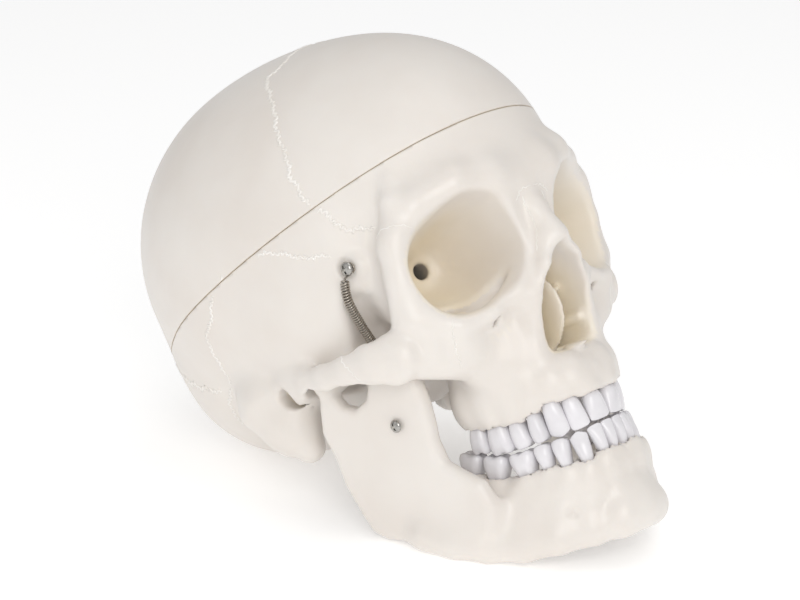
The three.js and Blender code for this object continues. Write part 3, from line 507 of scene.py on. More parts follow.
class Look:
    """A principled material and the nodes that vary it over a surface."""

    def __init__(self, name, colour, roughness, metallic=0.0, coat=0.0):
        self.material = bpy.data.materials.new(name)
        self.material.use_nodes = True
        self.nodes = self.material.node_tree.nodes
        self.links = self.material.node_tree.links
        self.shader = self.nodes["Principled BSDF"]
        self.fill(self.shader, {"Base Color": (*colour, 1), "Roughness": roughness,
                                "Metallic": metallic, "Coat Weight": coat})

    def fill(self, node, sockets):
        """Sets each socket to a value, or joins it to the output that it is given."""
        for key, value in sockets.items():
            if isinstance(value, bpy.types.NodeSocket):
                self.links.new(value, node.inputs[key])
            else:
                node.inputs[key].default_value = value

    def node(self, kind, sockets, **settings):
        made = self.nodes.new("ShaderNode" + kind)
        for key, value in settings.items():
            setattr(made, key, value)
        self.fill(made, sockets)
        return made.outputs

    def noise(self, scale, detail):
        place = self.node("TexCoord", {})["Object"]
        return self.node("TexNoise", {"Scale": scale, "Detail": detail, "Vector": place})["Fac"]

    def ramp(self, source, low, low_colour, high, high_colour):
        """Colour that runs from one to the other as source goes from low to high."""
        ramp = self.nodes.new("ShaderNodeValToRGB")
        ends = zip(ramp.color_ramp.elements, (low, high), (low_colour, high_colour))
        for element, position, colour in ends:
            element.position = position
            element.color = (*colour, 1)
        self.fill(ramp, {"Fac": source})
        return ramp.outputs["Color"]

    def mix(self, factor, a, b):
        return self.node("Mix", {"Factor": factor, "A": a, "B": b}, data_type="RGBA")["Result"]

    def beside_cut(self):
        """How much tan is mixed into the bone: the full share right beside the cap's cut, fading to 0 over
        the reach, in m.
        """
        point, normal = cut_plane(0)
        place = self.node("TexCoord", {})["Object"]
        along = self.node("VectorMath", {0: place, 1: normal}, operation="DOT_PRODUCT")["Value"]
        height = self.node("Math", {0: along, 1: point.dot(normal)}, operation="SUBTRACT")["Value"]
        size = self.node("Math", {0: height}, operation="ABSOLUTE")["Value"]
        return self.node("MapRange", {"Value": size, "From Min": CUT_TAN_REACH[0], "From Max": CUT_TAN_REACH[1],
                                      "To Min": CUT_TAN_SHARE, "To Max": 0})["Result"]

    def vary_roughness(self, source, low, high):
        gloss = self.node("MapRange", {"To Min": low, "To Max": high, "Value": source})["Result"]
        self.fill(self.shader, {"Roughness": gloss})

    def bump(self, source, strength, distance):
        bump = self.node("Bump", {"Strength": strength, "Distance": distance, "Height": source})["Normal"]
        self.fill(self.shader, {"Normal": bump})


def bone_material():
    """Off-white cast plastic with the soft unevenness of a mould, and painted warm light in its hollows: a
    lighter, warmer cream that lifts the shade there.
    """
    look = Look("cast_bone", (0.8, 0.76, 0.7), 0.42, coat=0.22)
    look.fill(look.shader, {"Coat Roughness": 0.25, "Subsurface Weight": 0.06,
                            "Subsurface Radius": (0.004, 0.003, 0.002)})
    cloud = look.noise(28, 4)
    pale = look.ramp(cloud, 0.35, (0.75, 0.70, 0.65), 0.68, (0.79, 0.75, 0.705))
    # Painted warm light: the hollow attribute mixes in a lighter, warmer cream that lifts and warms the shade
    # falling in the hollows.
    hollow_light = look.ramp(cloud, 0.35, (0.86, 0.77, 0.61), 0.68, (0.92, 0.85, 0.72))
    # A tan band along the cap's cut.
    cut_tan = look.ramp(cloud, 0.35, (0.5, 0.38, 0.23), 0.68, (0.66, 0.54, 0.38))
    hollow = look.node("Attribute", {}, attribute_name="hollow")["Fac"]
    bone_and_hollow_light = look.mix(hollow, pale, hollow_light)
    look.fill(look.shader, {"Base Color": look.mix(look.beside_cut(), bone_and_hollow_light, cut_tan)})
    fine = look.noise(240, 3)
    look.vary_roughness(fine, 0.36, 0.5)
    look.bump(fine, 0.12, 0.0006)
    return look.material


def seam_material():
    """The raised seams, a little whiter than the bone round them."""
    look = Look("seam_ridge", (0.87, 0.84, 0.8), 0.38, coat=0.2)
    tint = look.ramp(look.noise(120, 3), 0.35, (0.82, 0.785, 0.735), 0.65, (0.9, 0.875, 0.84))
    look.fill(look.shader, {"Base Color": tint})
    look.bump(look.noise(700, 2), 0.15, 0.0002)
    return look.material


def cut_material():
    """The sawn edge between cap and base, tan."""
    look = Look("cut_edge", (0.5, 0.4, 0.28), 0.6)
    tint = look.ramp(look.noise(400, 2), 0.3, (0.4, 0.3, 0.19), 0.7, (0.6, 0.49, 0.35))
    look.fill(look.shader, {"Base Color": tint})
    return look.material


def tooth_material():
    """Cool white glossy plastic."""
    look = Look("tooth_white", (0.8, 0.8, 0.84), 0.24, coat=0.3)
    tint = look.ramp(look.noise(90, 3), 0.3, (0.72, 0.705, 0.73), 0.7, (0.81, 0.795, 0.82))
    look.fill(look.shader, {"Coat Roughness": 0.12, "Base Color": tint})
    look.bump(look.noise(600, 2), 0.1, 0.0002)
    return look.material


def metal_material(name, colour, roughness, scratch):
    """Bare metal with fine wear. scratch is the scale of its noise."""
    look = Look(name, colour, roughness, metallic=1.0)
    fine = look.noise(scratch, 4)
    look.vary_roughness(fine, roughness * 0.7, roughness * 1.4)
    look.bump(fine, 0.15, 0.0001)
    return look.material


BONE = bone_material()
SEAM = seam_material()
CUT_EDGE = cut_material()
TOOTH = tooth_material()
NICKEL = metal_material("nickel", (0.42, 0.41, 0.39), 0.26, 900)
SPRING_STEEL = metal_material("spring_steel", (0.42, 0.38, 0.33), 0.26, 1200)


# ---- Making pieces ----
def mesh_object(name, points, faces):
    """Object in the scene with a new mesh, its points taken as they are."""
    mesh = bpy.data.meshes.new(name)
    mesh.from_pydata(np.asarray(points, float).tolist(), [], [list(map(int, f)) for f in faces])
    obj = bpy.data.objects.new(name, mesh)
    bpy.context.scene.collection.objects.link(obj)
    return obj


def new_piece(name, row_points, faces, materials):
    """Smooth-shaded piece from points in the row frame."""
    obj = mesh_object(name, row_points, faces)
    for m in materials:
        obj.data.materials.append(m)
    obj.data.shade_smooth()
    return obj


def settle(obj, body, node):
    """Puts a piece on the body that it moves with, and hides the CAD node that it stands for, if any."""
    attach(obj, body)
    if node:
        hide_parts(node)


HOLLOW_REACH = 9
HOLLOW_START = 0.6


def hollowness(values, axes, points, reach):
    """Share of solid within reach of each point: over a half in a hollow, under it on a ridge."""
    step = axes[0][1] - axes[0][0]
    n = max(1, int(round(reach / step)))
    solid = (values < 0).astype(np.float32)
    for axis in range(3):
        total = np.cumsum(np.pad(solid, [(n + 1, n) if a == axis else (0, 0) for a in range(3)]), axis)
        size = solid.shape[axis]
        high = np.take(total, np.arange(size) + 2 * n + 1, axis)
        low = np.take(total, np.arange(size), axis)
        solid = (high - low) / (2 * n + 1)
    spot = np.round((points - [a[0] for a in axes]) / step).astype(int)
    spot = np.clip(spot, 0, np.array(values.shape) - 1)
    return solid[tuple(spot.T)]


def face_hollows(points):
    """How deep each point lies in an eye socket or in the nose, 0 to 1: where the bone's material paints warm
    light over the shade.
    """
    x, y, z = np.abs(points[:, 0]), points[:, 1], points[:, 2]
    in_orbit = orbit().at(x, y, z) < 1.2
    in_nose = nose_opening().at(x, y, z) < 1.5
    outer_wall = np.clip(0.3 + (x - 10) / 16, 0.3, 1)
    orbit_depth = np.clip((86 - y) / 30, 0, 1)
    nose_depth = np.clip((90 - y) / 14, 0, 1)
    return np.maximum(in_orbit * orbit_depth * outer_wall, in_nose * nose_depth)


def bone_mesh(field, shade_range):
    """Points, quads and the depth of shade of a bone, 0 to 1, over shade_range of hollowness."""
    values, axes = field.whole()
    points, quads = skin(values, axes)
    points = smooth(points, quads, SMOOTH_ROUNDS)
    solid = hollowness(values, axes, points, HOLLOW_REACH)
    return points, quads, np.clip((solid - HOLLOW_START) / shade_range, 0, 1)


def paint_hollow_light(obj, shade):
    """Stores the depth of shade in the hollows where the bone's material reads it to paint warm light there.
    """
    layer = obj.data.attributes.new("hollow", "FLOAT", "POINT")
    layer.data.foreach_set("value", shade.astype(np.float32))


def split(obj, side):
    """Keeps one side of the cap's cut and closes the wall's sawn edge."""
    point, normal = cut_plane(side)
    b = bmesh.new()
    b.from_mesh(obj.data)
    result = bmesh.ops.bisect_plane(
        b, geom=b.verts[:] + b.edges[:] + b.faces[:], dist=1e-7, plane_co=point, plane_no=normal,
        clear_inner=side > 0, clear_outer=side < 0)
    edges = [e for e in result["geom_cut"] if isinstance(e, bmesh.types.BMEdge)]
    rim = bmesh.ops.bridge_loops(b, edges=edges)
    for face in rim["faces"]:
        face.material_index = 1
        face.smooth = False
    bmesh.ops.recalc_face_normals(b, faces=b.faces[:])
    b.to_mesh(obj.data)
    b.free()


# ---- Curves ----
STRETCH_POINTS = 60


def curve_points(stops, count):
    """Dense points on a smooth curve through the stops, count to a stretch."""
    p = np.array(stops, float)
    p = np.vstack([2 * p[0] - p[1], p, 2 * p[-1] - p[-2]])
    t = np.linspace(0, 1, count, endpoint=False)[:, None]
    out = []
    for a, b, c, d in zip(p[:-3], p[1:-2], p[2:-1], p[3:]):
        bend = (2 * a - 5 * b + 4 * c - d) * t ** 2 + (3 * b - a - 3 * c + d) * t ** 3
        out.append(b + 0.5 * ((c - a) * t + bend))
    return np.vstack(out + [p[-2]])


class Path:
    """Smooth curve through points, read by the length along it."""

    def __init__(self, stops):
        self.points = curve_points(stops, STRETCH_POINTS)
        steps = np.linalg.norm(np.diff(self.points, axis=0), axis=1)
        self.reach = np.concatenate([[0], np.cumsum(steps)])
        self.length = self.reach[-1]

    def at(self, s):
        return np.stack([np.interp(s, self.reach, self.points[:, d]) for d in range(3)], -1)


def unit(v):
    return v / np.linalg.norm(v, axis=-1, keepdims=True)


def frames_along(points):
    """Directions across a line of points that turn with it without twisting."""
    ahead = unit(np.gradient(points, axis=0))
    start = np.cross(ahead[0], (0.3, 0.1, 1))
    across = [unit(start)]
    for a in ahead[1:]:
        last = across[-1]
        across.append(unit(last - a * (last @ a)))
    across = np.array(across)
    return ahead, across, np.cross(ahead, across)


def ring_faces(rings, sides):
    """Quads between rings of points, facing out where the rings run along their own normal."""
    faces = []
    for r in range(rings - 1):
        for i in range(sides):
            n = (i + 1) % sides
            faces.append([r * sides + i, r * sides + n, (r + 1) * sides + n, (r + 1) * sides + i])
    return faces


def closed_rings(rings, sides):
    """The quads between rings and a flat face over each end."""
    first = list(range(sides))
    return ring_faces(rings, sides) + [first[::-1], [(rings - 1) * sides + i for i in first]]


def tube(points, radius, sides):
    """Round tube along points, closed at both ends. radius is one number or one for each point."""
    points = np.asarray(points, float)
    _, across, other = frames_along(points)
    radius = np.broadcast_to(radius, len(points))[:, None, None]
    turn = np.arange(sides) * 2 * math.pi / sides
    c, s = np.cos(turn)[None, :, None], np.sin(turn)[None, :, None]
    rings = points[:, None] + radius * (c * across[:, None] + s * other[:, None])
    return rings.reshape(-1, 3), closed_rings(len(points), sides)


def join_parts(parts):
    """Several (points, faces) as one."""
    points, faces, start = [], [], 0
    for p, f in parts:
        points.append(p)
        faces += [[i + start for i in face] for face in f]
        start += len(p)
    return np.vstack(points), faces


# ---- Teeth ----
# Width, depth and height of the crown, mm. broad is True for a chewing tooth.
Tooth = namedtuple("Tooth", "name width depth crown broad")
# Where a tooth stands: its middle at the gum, and the directions along the arch, outward and to the bite.
Place = namedtuple("Place", "tooth gum along outward down")
UPPER_TEETH = [
    Tooth("central_incisor", 8.4, 7.0, 10.4, False),
    Tooth("lateral_incisor", 7.3, 6.4, 12.0, False),
    Tooth("canine", 7.8, 7.6, 13.6, False),
    Tooth("first_premolar", 6.5, 8.4, 10.6, True),
    Tooth("second_premolar", 7.4, 8.4, 10.6, True),
    Tooth("first_molar", 9.8, 10.2, 11.6, True),
    Tooth("second_molar", 8.2, 9.8, 10.0, True),
]
LOWER_TEETH = [
    Tooth("central_incisor", 5.3, 6.0, 9.2, False),
    Tooth("lateral_incisor", 5.8, 6.2, 9.2, False),
    Tooth("canine", 6.8, 7.2, 10.4, False),
    Tooth("first_premolar", 6.6, 7.6, 9.4, True),
    Tooth("second_premolar", 6.8, 8.0, 8.2, True),
    Tooth("first_molar", 10.2, 9.4, 9.0, True),
    Tooth("second_molar", 10.2, 9.2, 9.2, True),
    Tooth("third_molar", 10.2, 8.8, 8.2, True),
]
# Middle of the teeth along the arch: to the side, forward, and the height where the teeth meet.
ARCH = [(0, 83.3, -58.2), (6.5, 82.1, -58.2), (12.6, 78, -58.6), (17.2, 71.5, -57.8), (20.3, 63.5, -56.8),
        (23, 54.8, -56), (25, 46, -52.8), (26.2, 37.5, -48.6), (26.7, 29, -44.5)]
UPPER_SLOPE = 0.6
LOWER_LEAN = 0.24
# The lean dies away over this length of the arch from the middle.
LEAN_REACH = 26
BITE_GAP = 0.7
TOOTH_GAP = 0.12
SOCKET_GAP = 0.45
SOCKET_END = 0.9
SOCKET_SQUARENESS = 2.3
TOOTH_SIDES = 32
# Height along the crown, width, depth and outward lean at each ring, as shares of the tooth's own.
UPPER_FRONT = [(-0.34, 0.44, 0.4, 0), (-0.08, 0.56, 0.6, 0), (0.02, 0.7, 0.74, 0.0), (0.1, 0.82, 0.84, 0.01),
               (0.3, 0.93, 0.88, 0.03), (0.6, 0.99, 0.7, 0.045), (0.84, 1.0, 0.46, 0.04),
               (0.95, 0.97, 0.32, 0.03), (1.0, 0.88, 0.22, 0.03)]
LOWER_FRONT = [(-0.4, 0.44, 0.44, 0), (0.0, 0.7, 0.8, 0), (0.25, 0.82, 0.82, 0.02), (0.55, 0.92, 0.7, 0.03),
               (0.82, 0.98, 0.44, 0.03), (0.95, 0.98, 0.3, 0.02), (1.0, 0.9, 0.2, 0.02)]
UPPER_BACK = [(-0.4, 0.48, 0.46, 0), (-0.04, 0.66, 0.76, 0), (0.1, 0.78, 0.88, 0), (0.4, 0.94, 1.0, 0),
              (0.7, 1.0, 0.97, 0), (0.88, 0.96, 0.86, 0), (0.97, 0.82, 0.68, 0), (0.985, 0.6, 0.46, 0),
              (0.93, 0.34, 0.26, 0), (0.88, 0.1, 0.08, 0)]
LOWER_BACK = [(-0.4, 0.5, 0.48, 0), (0.0, 0.68, 0.78, 0), (0.16, 0.74, 0.86, 0), (0.45, 0.9, 1.0, 0),
              (0.72, 1.0, 0.98, 0), (0.9, 0.96, 0.86, 0), (0.97, 0.82, 0.68, 0), (0.985, 0.6, 0.46, 0),
              (0.93, 0.34, 0.26, 0), (0.88, 0.1, 0.08, 0)]
CUSP = 0.75


def tooth_places(teeth, rises, side):
    """Where each tooth of one side of an arch stands. rises is 1 for the upper teeth and -1 for the lower."""
    path = Path([(side * x, y, z) for x, y, z in ARCH])
    reached = 0
    places = []
    for tooth in teeth:
        middle = reached + tooth.width / 2
        reached += tooth.width
        along = path.at(middle + tooth.width / 2) - path.at(middle - tooth.width / 2)
        along[2] *= UPPER_SLOPE if rises > 0 else 1
        along = unit(along)
        outward = unit(np.array([along[1], -along[0], 0]) * -side)
        down = np.cross(along, outward) * -side * rises
        if rises < 0:
            down = unit(down + LOWER_LEAN * max(0, 1 - middle / LEAN_REACH) * outward)
            outward = unit(outward - (outward @ down) * down)
        gum = path.at(middle) - down * (tooth.crown + BITE_GAP / 2)
        places.append(Place(tooth, gum, along, outward, down))
    return places


def rings_of(broad, rises):
    """The list of rings for a chewing tooth or a front one, upper or lower."""
    if broad:
        return UPPER_BACK if rises > 0 else LOWER_BACK
    return UPPER_FRONT if rises > 0 else LOWER_FRONT


def power(c, p):
    """c to the power p, with the sign of c."""
    return np.sign(c) * np.abs(c) ** p


def tooth_shape(place, rises):
    """Points and faces of one tooth, with its lobes and cusps."""
    (name, width, depth, crown, broad), gum, along, outward, down = place
    stops = curve_points(rings_of(broad, rises), 4)
    turn = np.arange(TOOTH_SIDES) * 2 * math.pi / TOOTH_SIDES
    squareness = 0.78 if broad else 0.9
    c, s = power(np.cos(turn), squareness), power(np.sin(turn), squareness)
    molar = "molar" in name and "pre" not in name
    points = []
    for share, wide, deep, lean in stops:
        u = c * (width - TOOTH_GAP) * wide / 2
        v = s * depth * deep / 2
        if molar:
            groove = 0.16 - 0.1 * np.clip(share * 2.5, 0, 1) + 0.06 * np.clip(share * 3 - 2, 0, 1)
            v = v * (1 - groove * np.exp(-(np.cos(turn) / 0.3) ** 2))
        w = np.full(TOOTH_SIDES, share * crown)
        if broad:
            edge = np.clip((wide - 0.25) / 0.5, 0, 1) * np.clip((share - 0.75) / 0.2, 0, 1)
            waves = np.abs(np.sin(2 * turn)) if molar else np.abs(np.sin(turn))
            w = w + CUSP * edge * (waves - 0.6)
        elif name == "canine":
            w = w + np.clip((share - 0.7) / 0.3, 0, 1) * (0.5 - 1.5 * np.abs(c) ** 1.3)
        else:
            w = w - np.clip((share - 0.8) / 0.2, 0, 1) * 0.5 * np.abs(c) ** 4
        points.append(gum + u[:, None] * along + (v + lean * depth)[:, None] * outward + w[:, None] * down)
    rings = len(points)
    points = np.concatenate(points)
    faces = ring_faces(rings, TOOTH_SIDES)
    # Each end is a fan of triangles about its middle.
    for ring, flip in ((0, True), (rings - 1, False)):
        loop = [ring * TOOTH_SIDES + i for i in range(TOOTH_SIDES)]
        middle = len(points)
        points = np.vstack([points, points[loop].mean(0)])
        for a, b in zip(loop, loop[1:] + loop[:1]):
            faces.append([b, a, middle] if flip else [a, b, middle])
    if np.cross(along, outward) @ down < 0:
        faces = [f[::-1] for f in faces]
    return points, faces


def socket(place, rises):
    """The hole that a tooth sits in, grown by the gap round it."""
    tooth, gum, along, outward, down = place
    stops = np.array([s for s in rings_of(tooth.broad, rises) if s[0] < SOCKET_END])

    def at(x, y, z):
        u, v, w = along_axes(x, y, z, gum, (along, outward, down))
        share = w / tooth.crown
        wide = np.interp(share, stops[:, 0], stops[:, 1]) * tooth.width / 2 + SOCKET_GAP
        deep = np.interp(share, stops[:, 0], stops[:, 2]) * tooth.depth / 2 + SOCKET_GAP
        v = v - np.interp(share, stops[:, 0], stops[:, 3]) * tooth.depth
        ring = super_ring(u / wide, v / deep, SOCKET_SQUARENESS)
        return np.maximum((ring - 1) * np.minimum(wide, deep), stops[0, 0] * tooth.crown - w)

    reach = max(tooth.width, tooth.depth) / 2 + 2
    ends = np.array([gum + down * (stops[0, 0] * tooth.crown - 1), gum + down * (tooth.crown + 2)])
    return Shape(ends.min(0) - reach, ends.max(0) + reach, at)


def root_ridge(place):
    """The swelling of the jaw bone over a tooth's root."""
    tooth, gum, _, outward, down = place
    root = 11 if tooth.name == "canine" else 7
    start = gum + outward * tooth.depth * 0.2 - down * 1.5
    end = gum + outward * tooth.depth * 0.1 - down * root
    return bar([start, end], [tooth.width * 0.4, tooth.width * 0.24])


# ---- Bone and tooth pieces ----
skull = skull_field()
jaw = jaw_field()
for field, teeth, rises in ((skull, UPPER_TEETH, 1), (jaw, LOWER_TEETH, -1)):
    places = tooth_places(teeth, rises, 1)
    for place in places:
        field.add(root_ridge(place), 3.5)
    for place in places:
        field.cut(socket(place, rises), 0.8)

# The depth of shade in the hollows, over which the bone's material paints warm light.
skull_points, skull_quads, shade = bone_mesh(skull, 0.2)
shade = np.maximum(shade, face_hollows(skull_points))
for part, side, body, node, slot in (("cap", 1, "cap", "calvaria", "cap_bone"),
                                     ("base", -1, "cranium", "skull_base", "bone")):
    bone = new_piece(f"bone_{part}", on_floor(skull_points), skull_quads, [BONE, CUT_EDGE])
    paint_hollow_light(bone, shade)
    split(bone, side)
    settle(bone, body, node)

jaw_points, jaw_quads, shade = bone_mesh(jaw, 0.3)
bone = new_piece("bone_jaw", on_floor(jaw_points), jaw_quads, [BONE])
paint_hollow_light(bone, shade)
settle(bone, "jaw", "mandible")

for side, side_name in SIDES:
    for row, teeth, rises, body in (("upper", UPPER_TEETH, 1, "cranium"), ("lower", LOWER_TEETH, -1, "jaw")):
        for place in tooth_places(teeth, rises, side):
            node = f"{row}_{place.tooth.name}_{side_name}"
            points, faces = tooth_shape(place, rises)
            settle(new_piece(f"tooth_{node}", to_row(points), faces, [TOOTH]), body, node)


# ---- Sutures ----
# wander is how far a seam strays to each side and height how far it stands out, mm.
Seam = namedtuple("Seam", "name wander height stops")
# The right side's seams. The left side mirrors them.
SUTURES = [
    Seam("coronal", 0.95, 0.55, [(0, 26, 118), (12, 27, 113), (24.8, 30, 108), (32, 28, 105),
                                 (40, 34.5, 96.5), (46, 39, 88), (50, 40.6, 82), (54, 44, 70.5),
                                 (56, 44, 65), (56.7, 46, 59), (57, 47.6, 52.5), (54.8, 52.6, 45.3),
                                 (52.5, 54.4, 39), (47, 65, 34)]),
    Seam("squamous", 0.7, 0.45, [(55.5, 46.5, 32), (58.2, 44, 34), (61, 37.6, 36.5), (62, 30.4, 41.2),
                                 (63.3, 17.8, 45.2), (68.5, -2.3, 43), (67.6, -14.5, 33), (66, -22, 29.4),
                                 (60.2, -28.4, 17.6), (57, -32, 10)]),
    Seam("lambdoid", 1.5, 0.42, [(0, -80, 62), (20, -78, 50), (38, -70, 36), (50, -56, 22), (56, -40, 10)]),
    Seam("mastoid", 0.9, 0.36, [(57, -32, 10), (52.3, -42.3, 5.6), (46, -48, -4)]),
    Seam("cheek", 0.5, 0.26, [(41.7, 74, -5.6), (42.2, 70.5, -14.4), (40.4, 66.6, -23)]),
    Seam("brow_end", 0.4, 0.24, [(50.5, 66, 29), (47.5, 72, 30), (43, 74.5, 30)]),
    Seam("arch", 0.4, 0.24, [(62.5, 37, 0), (64.5, 40, -6), (63, 43, -12)]),
    Seam("nose_root", 0.5, 0.24, [(0, 94, 27), (5, 92, 27), (9.5, 89.5, 24)]),
    Seam("nose_side", 0.3, 0.22, [(4.5, 92.5, 25), (5.6, 94, 14), (7.5, 92, 3)]),
]
SAGITTAL = Seam("sagittal", 1.4, 0.42, [(0, 26, 118), (0, 0, 119), (0, -30, 112), (0, -60, 92),
                                        (0, -80, 62)])
SEAM_STEP = 0.35
SEAM_SIDES = 6
# Length at each end of a seam over which its wander grows, and the share of its height that is sunk in.
WANDER_EASE = 4
SEAM_SINK = 1 / 3
# Wave height that counts as the full wander.
WAVE_SIZE = 1.5
TAPER_POINTS = 4
SHORTEST_RUN = 6
RAY_START = 0.03
BRAIN_MIDDLE = np.array([0, -8, 38.0])
# Seams that are found by looking in at the braincase. The others lie on the nearest surface.
ON_BRAIN = ("coronal", "squamous", "lambdoid", "mastoid", "sagittal")


def seam_line(seam, tree, side):
    """Points of one seam on the bone's surface and the outward directions there, in the row frame."""
    path = Path(seam.stops)
    s = np.arange(0, path.length, SEAM_STEP)
    line = to_row(path.at(s) * (side, 1, 1))
    ahead = unit(np.gradient(line, axis=0))
    waves = np.sin(s * 2.9) + 0.7 * np.sin(s * 0.83 + 1.3) + 0.5 * np.sin(s * 4.7 + 0.4)
    ease = np.clip(np.minimum(s, path.length - s) / WANDER_EASE, 0, 1)
    drift = seam.wander / 1000 * waves / WAVE_SIZE * ease
    middle = to_row([BRAIN_MIDDLE])[0]
    points = []
    for spot, forward, shift in zip(line, ahead, drift):
        out = unit(spot - middle)
        # Once to reach the surface, and once more after the step to the side.
        for _ in range(2):
            if seam.name in ON_BRAIN:
                at, normal = tree.ray_cast(Vector(spot + out * RAY_START), Vector(-out))[:2]
            else:
                at, normal = tree.find_nearest(Vector(spot))[:2]
            normal = np.array(normal)
            spot = np.array(at) + np.cross(normal, forward) * shift
            shift = 0
        points.append(np.array(at) - normal * seam.height / 1000 * SEAM_SINK)
    return np.array(points)


def seam_tubes(seam, tree, side):
    """Tubes of one seam above and below the cap's cut, as {True: [...], False: [...]}."""
    points = seam_line(seam, tree, side)
    where, normal = cut_plane(0)
    height = (points - np.array(where)) @ np.array(normal) * 1000
    made = {True: [], False: []}
    clear = CUT_GAP / 2 + seam.height + 0.1
    for above in (True, False):
        kept = np.flatnonzero(height > clear if above else height < -clear)
        for run in np.split(kept, np.flatnonzero(np.diff(kept) > 1) + 1):
            if len(run) > SHORTEST_RUN:
                place = np.arange(len(run))
                taper = np.clip(np.minimum(place, place[::-1]) / TAPER_POINTS, 0.3, 1)
                made[above].append(tube(points[run], seam.height / 1000 * taper, SEAM_SIDES))
    return made


skull_tree = BVHTree.FromPolygons(to_row(skull_points).tolist(), skull_quads.tolist())
seams = {True: [], False: []}
for seam in SUTURES + [SAGITTAL]:
    for side in (1,) if seam is SAGITTAL else (1, -1):
        for above, tubes in seam_tubes(seam, skull_tree, side).items():
            seams[above] += tubes
settle(new_piece("seams_cap", *join_parts(seams[True]), [SEAM]), "cap", None)
settle(new_piece("seams_base", *join_parts(seams[False]), [SEAM]), "cranium", None)


# ---- Springs and screws ----
SPRING_LINE = [(56.9, 48.5, 22.9), (56.3, 45.3, 16), (51.8, 41.2, 7.5), (46.8, 37.6, 0), (43, 35.9, -7),
               (41, 35, -16), (40.3, 34.9, -24.8)]
COIL_PITCH = 0.95
COIL_STEPS = 12
COIL_EASE = 1.0
WIRE_SIDES = 6
EYE_RADIUS = 1.75
EYE_TURNS = 1.15
EYE_STEPS = 26
SCREW_TIP = 0.8
SCREW_SHANK = 1.2
TEMPLE_HEAD = 2.7
TEMPLE_LENGTH = 7
JAW_HEAD = 2.4
JAW_LENGTH = 12
NUT_CORNER = 3.1
NUT_THICK = 1.9
NUT_BEVEL = 0.32
NUT_BORE = 1.32
SHARP_ANGLE = 0.6


def eye_points(centre, toward):
    """Ring of wire round a screw, ending on the side that faces the coil."""
    end = math.atan2(toward[2] - centre[2], toward[1] - centre[1])
    turn = end + 2 * math.pi * EYE_TURNS * (1 - np.linspace(0, 1, EYE_STEPS))
    lift = np.linspace(0.35, -0.1, EYE_STEPS)
    return np.stack([centre[0] + lift, centre[1] + EYE_RADIUS * np.cos(turn),
                     centre[2] + EYE_RADIUS * np.sin(turn)], 1)


def spring_wire():
    """Close-wound coil along its bent middle line, with an eye at each end."""
    path = Path(SPRING_LINE)
    turns = int(path.length / COIL_PITCH)
    s = np.linspace(0, path.length, turns * COIL_STEPS)
    middle = path.at(s)
    _, across, other = frames_along(middle)
    turn = np.linspace(0, 2 * math.pi * turns, len(s))
    ease = np.clip(np.minimum(s, path.length - s) / COIL_EASE, 0.25, 1)
    radius = ((SPRING_RADIUS - WIRE) * ease)[:, None]
    coil = middle + radius * (np.cos(turn)[:, None] * across + np.sin(turn)[:, None] * other)
    top = eye_points(np.array([TEMPLE_EYE_X, *TEMPLE_SCREW[1:]]), middle[0])
    bottom = eye_points(np.array([JAW_EYE_X, *JAW_SCREW[1:]]), middle[-1])[::-1]
    return np.vstack([top, coil, bottom])


def mirrored(points, faces, side):
    """Points and faces as they are for side 1, and turned over to the left for side -1."""
    return np.array(points, float) * (side, 1, 1), faces if side > 0 else [f[::-1] for f in faces]


def nickel_piece(name, points, faces, side, body, node):
    """Plated piece with its sharp edges shaded as edges."""
    points, faces = mirrored(points, faces, side)
    obj = new_piece(name, to_row(points), faces, [NICKEL])
    settle(obj, body, node)
    obj.data.set_sharp_from_angle(angle=SHARP_ANGLE)


def lathe(profile, sides):
    """Solid turned about its x axis from (along, radius) stops."""
    turn = np.arange(sides) * 2 * math.pi / sides
    rings = [[(a, r * math.cos(t), r * math.sin(t)) for t in turn] for a, r in profile]
    return np.array(rings).reshape(-1, 3), closed_rings(len(profile), sides)


def boolean(target, tool, operation):
    """Points and faces of target joined, cut or kept by tool."""
    a, b = mesh_object("cutter", *target), mesh_object("cutter", *tool)
    step = a.modifiers.new("cut", "BOOLEAN")
    step.operation = operation
    step.solver = "EXACT"
    step.object = b
    bpy.context.view_layer.update()
    made = bpy.data.meshes.new_from_object(a.evaluated_get(bpy.context.evaluated_depsgraph_get()))
    points = np.array([v.co for v in made.vertices], float)
    faces = [list(p.vertices) for p in made.polygons]
    for old in (a, b):
        bpy.data.objects.remove(old)
    return points, faces


def block(low, high):
    """Box between two corners."""
    points = [(x, y, z) for x in (low[0], high[0]) for y in (low[1], high[1]) for z in (low[2], high[2])]
    faces = [(0, 1, 3, 2), (4, 6, 7, 5), (0, 4, 5, 1), (2, 3, 7, 6), (0, 2, 6, 4), (1, 5, 7, 3)]
    return np.array(points, float), [list(f) for f in faces]


def screw_shape(length, head):
    """Domed cross-head screw along x, its head's seat at 0."""
    dome = [(0.12 * head, head), (0.26 * head, head * 0.98), (0.42 * head, head * 0.86),
            (0.56 * head, head * 0.64), (0.65 * head, head * 0.36), (0.68 * head, head * 0.05)]
    shank = [(-length, 0.5), (-length + SCREW_TIP, 1.15), (0, SCREW_SHANK), (0, head * 0.94)]
    body = lathe(shank + dome, 40)
    for low, high in (((0.3, -0.16, -0.62), (1, 0.16, 0.62)), ((0.3, -0.62, -0.16), (1, 0.62, 0.16))):
        body = boolean(body, block(np.array(low) * head, np.array(high) * head), "DIFFERENCE")
    return body


def nut_shape():
    """Hexagonal nut along x with turned-down corners and a threaded hole."""
    hexagon = lathe([(0, NUT_CORNER), (NUT_THICK, NUT_CORNER)], 6)
    face, rim = NUT_CORNER - 0.55, NUT_CORNER + 0.02
    turned = lathe([(0, face), (NUT_BEVEL, rim), (NUT_THICK - NUT_BEVEL, rim), (NUT_THICK, face)], 48)
    body = boolean(hexagon, turned, "INTERSECT")
    return boolean(body, lathe([(-1, NUT_BORE), (3, NUT_BORE)], 32), "DIFFERENCE")


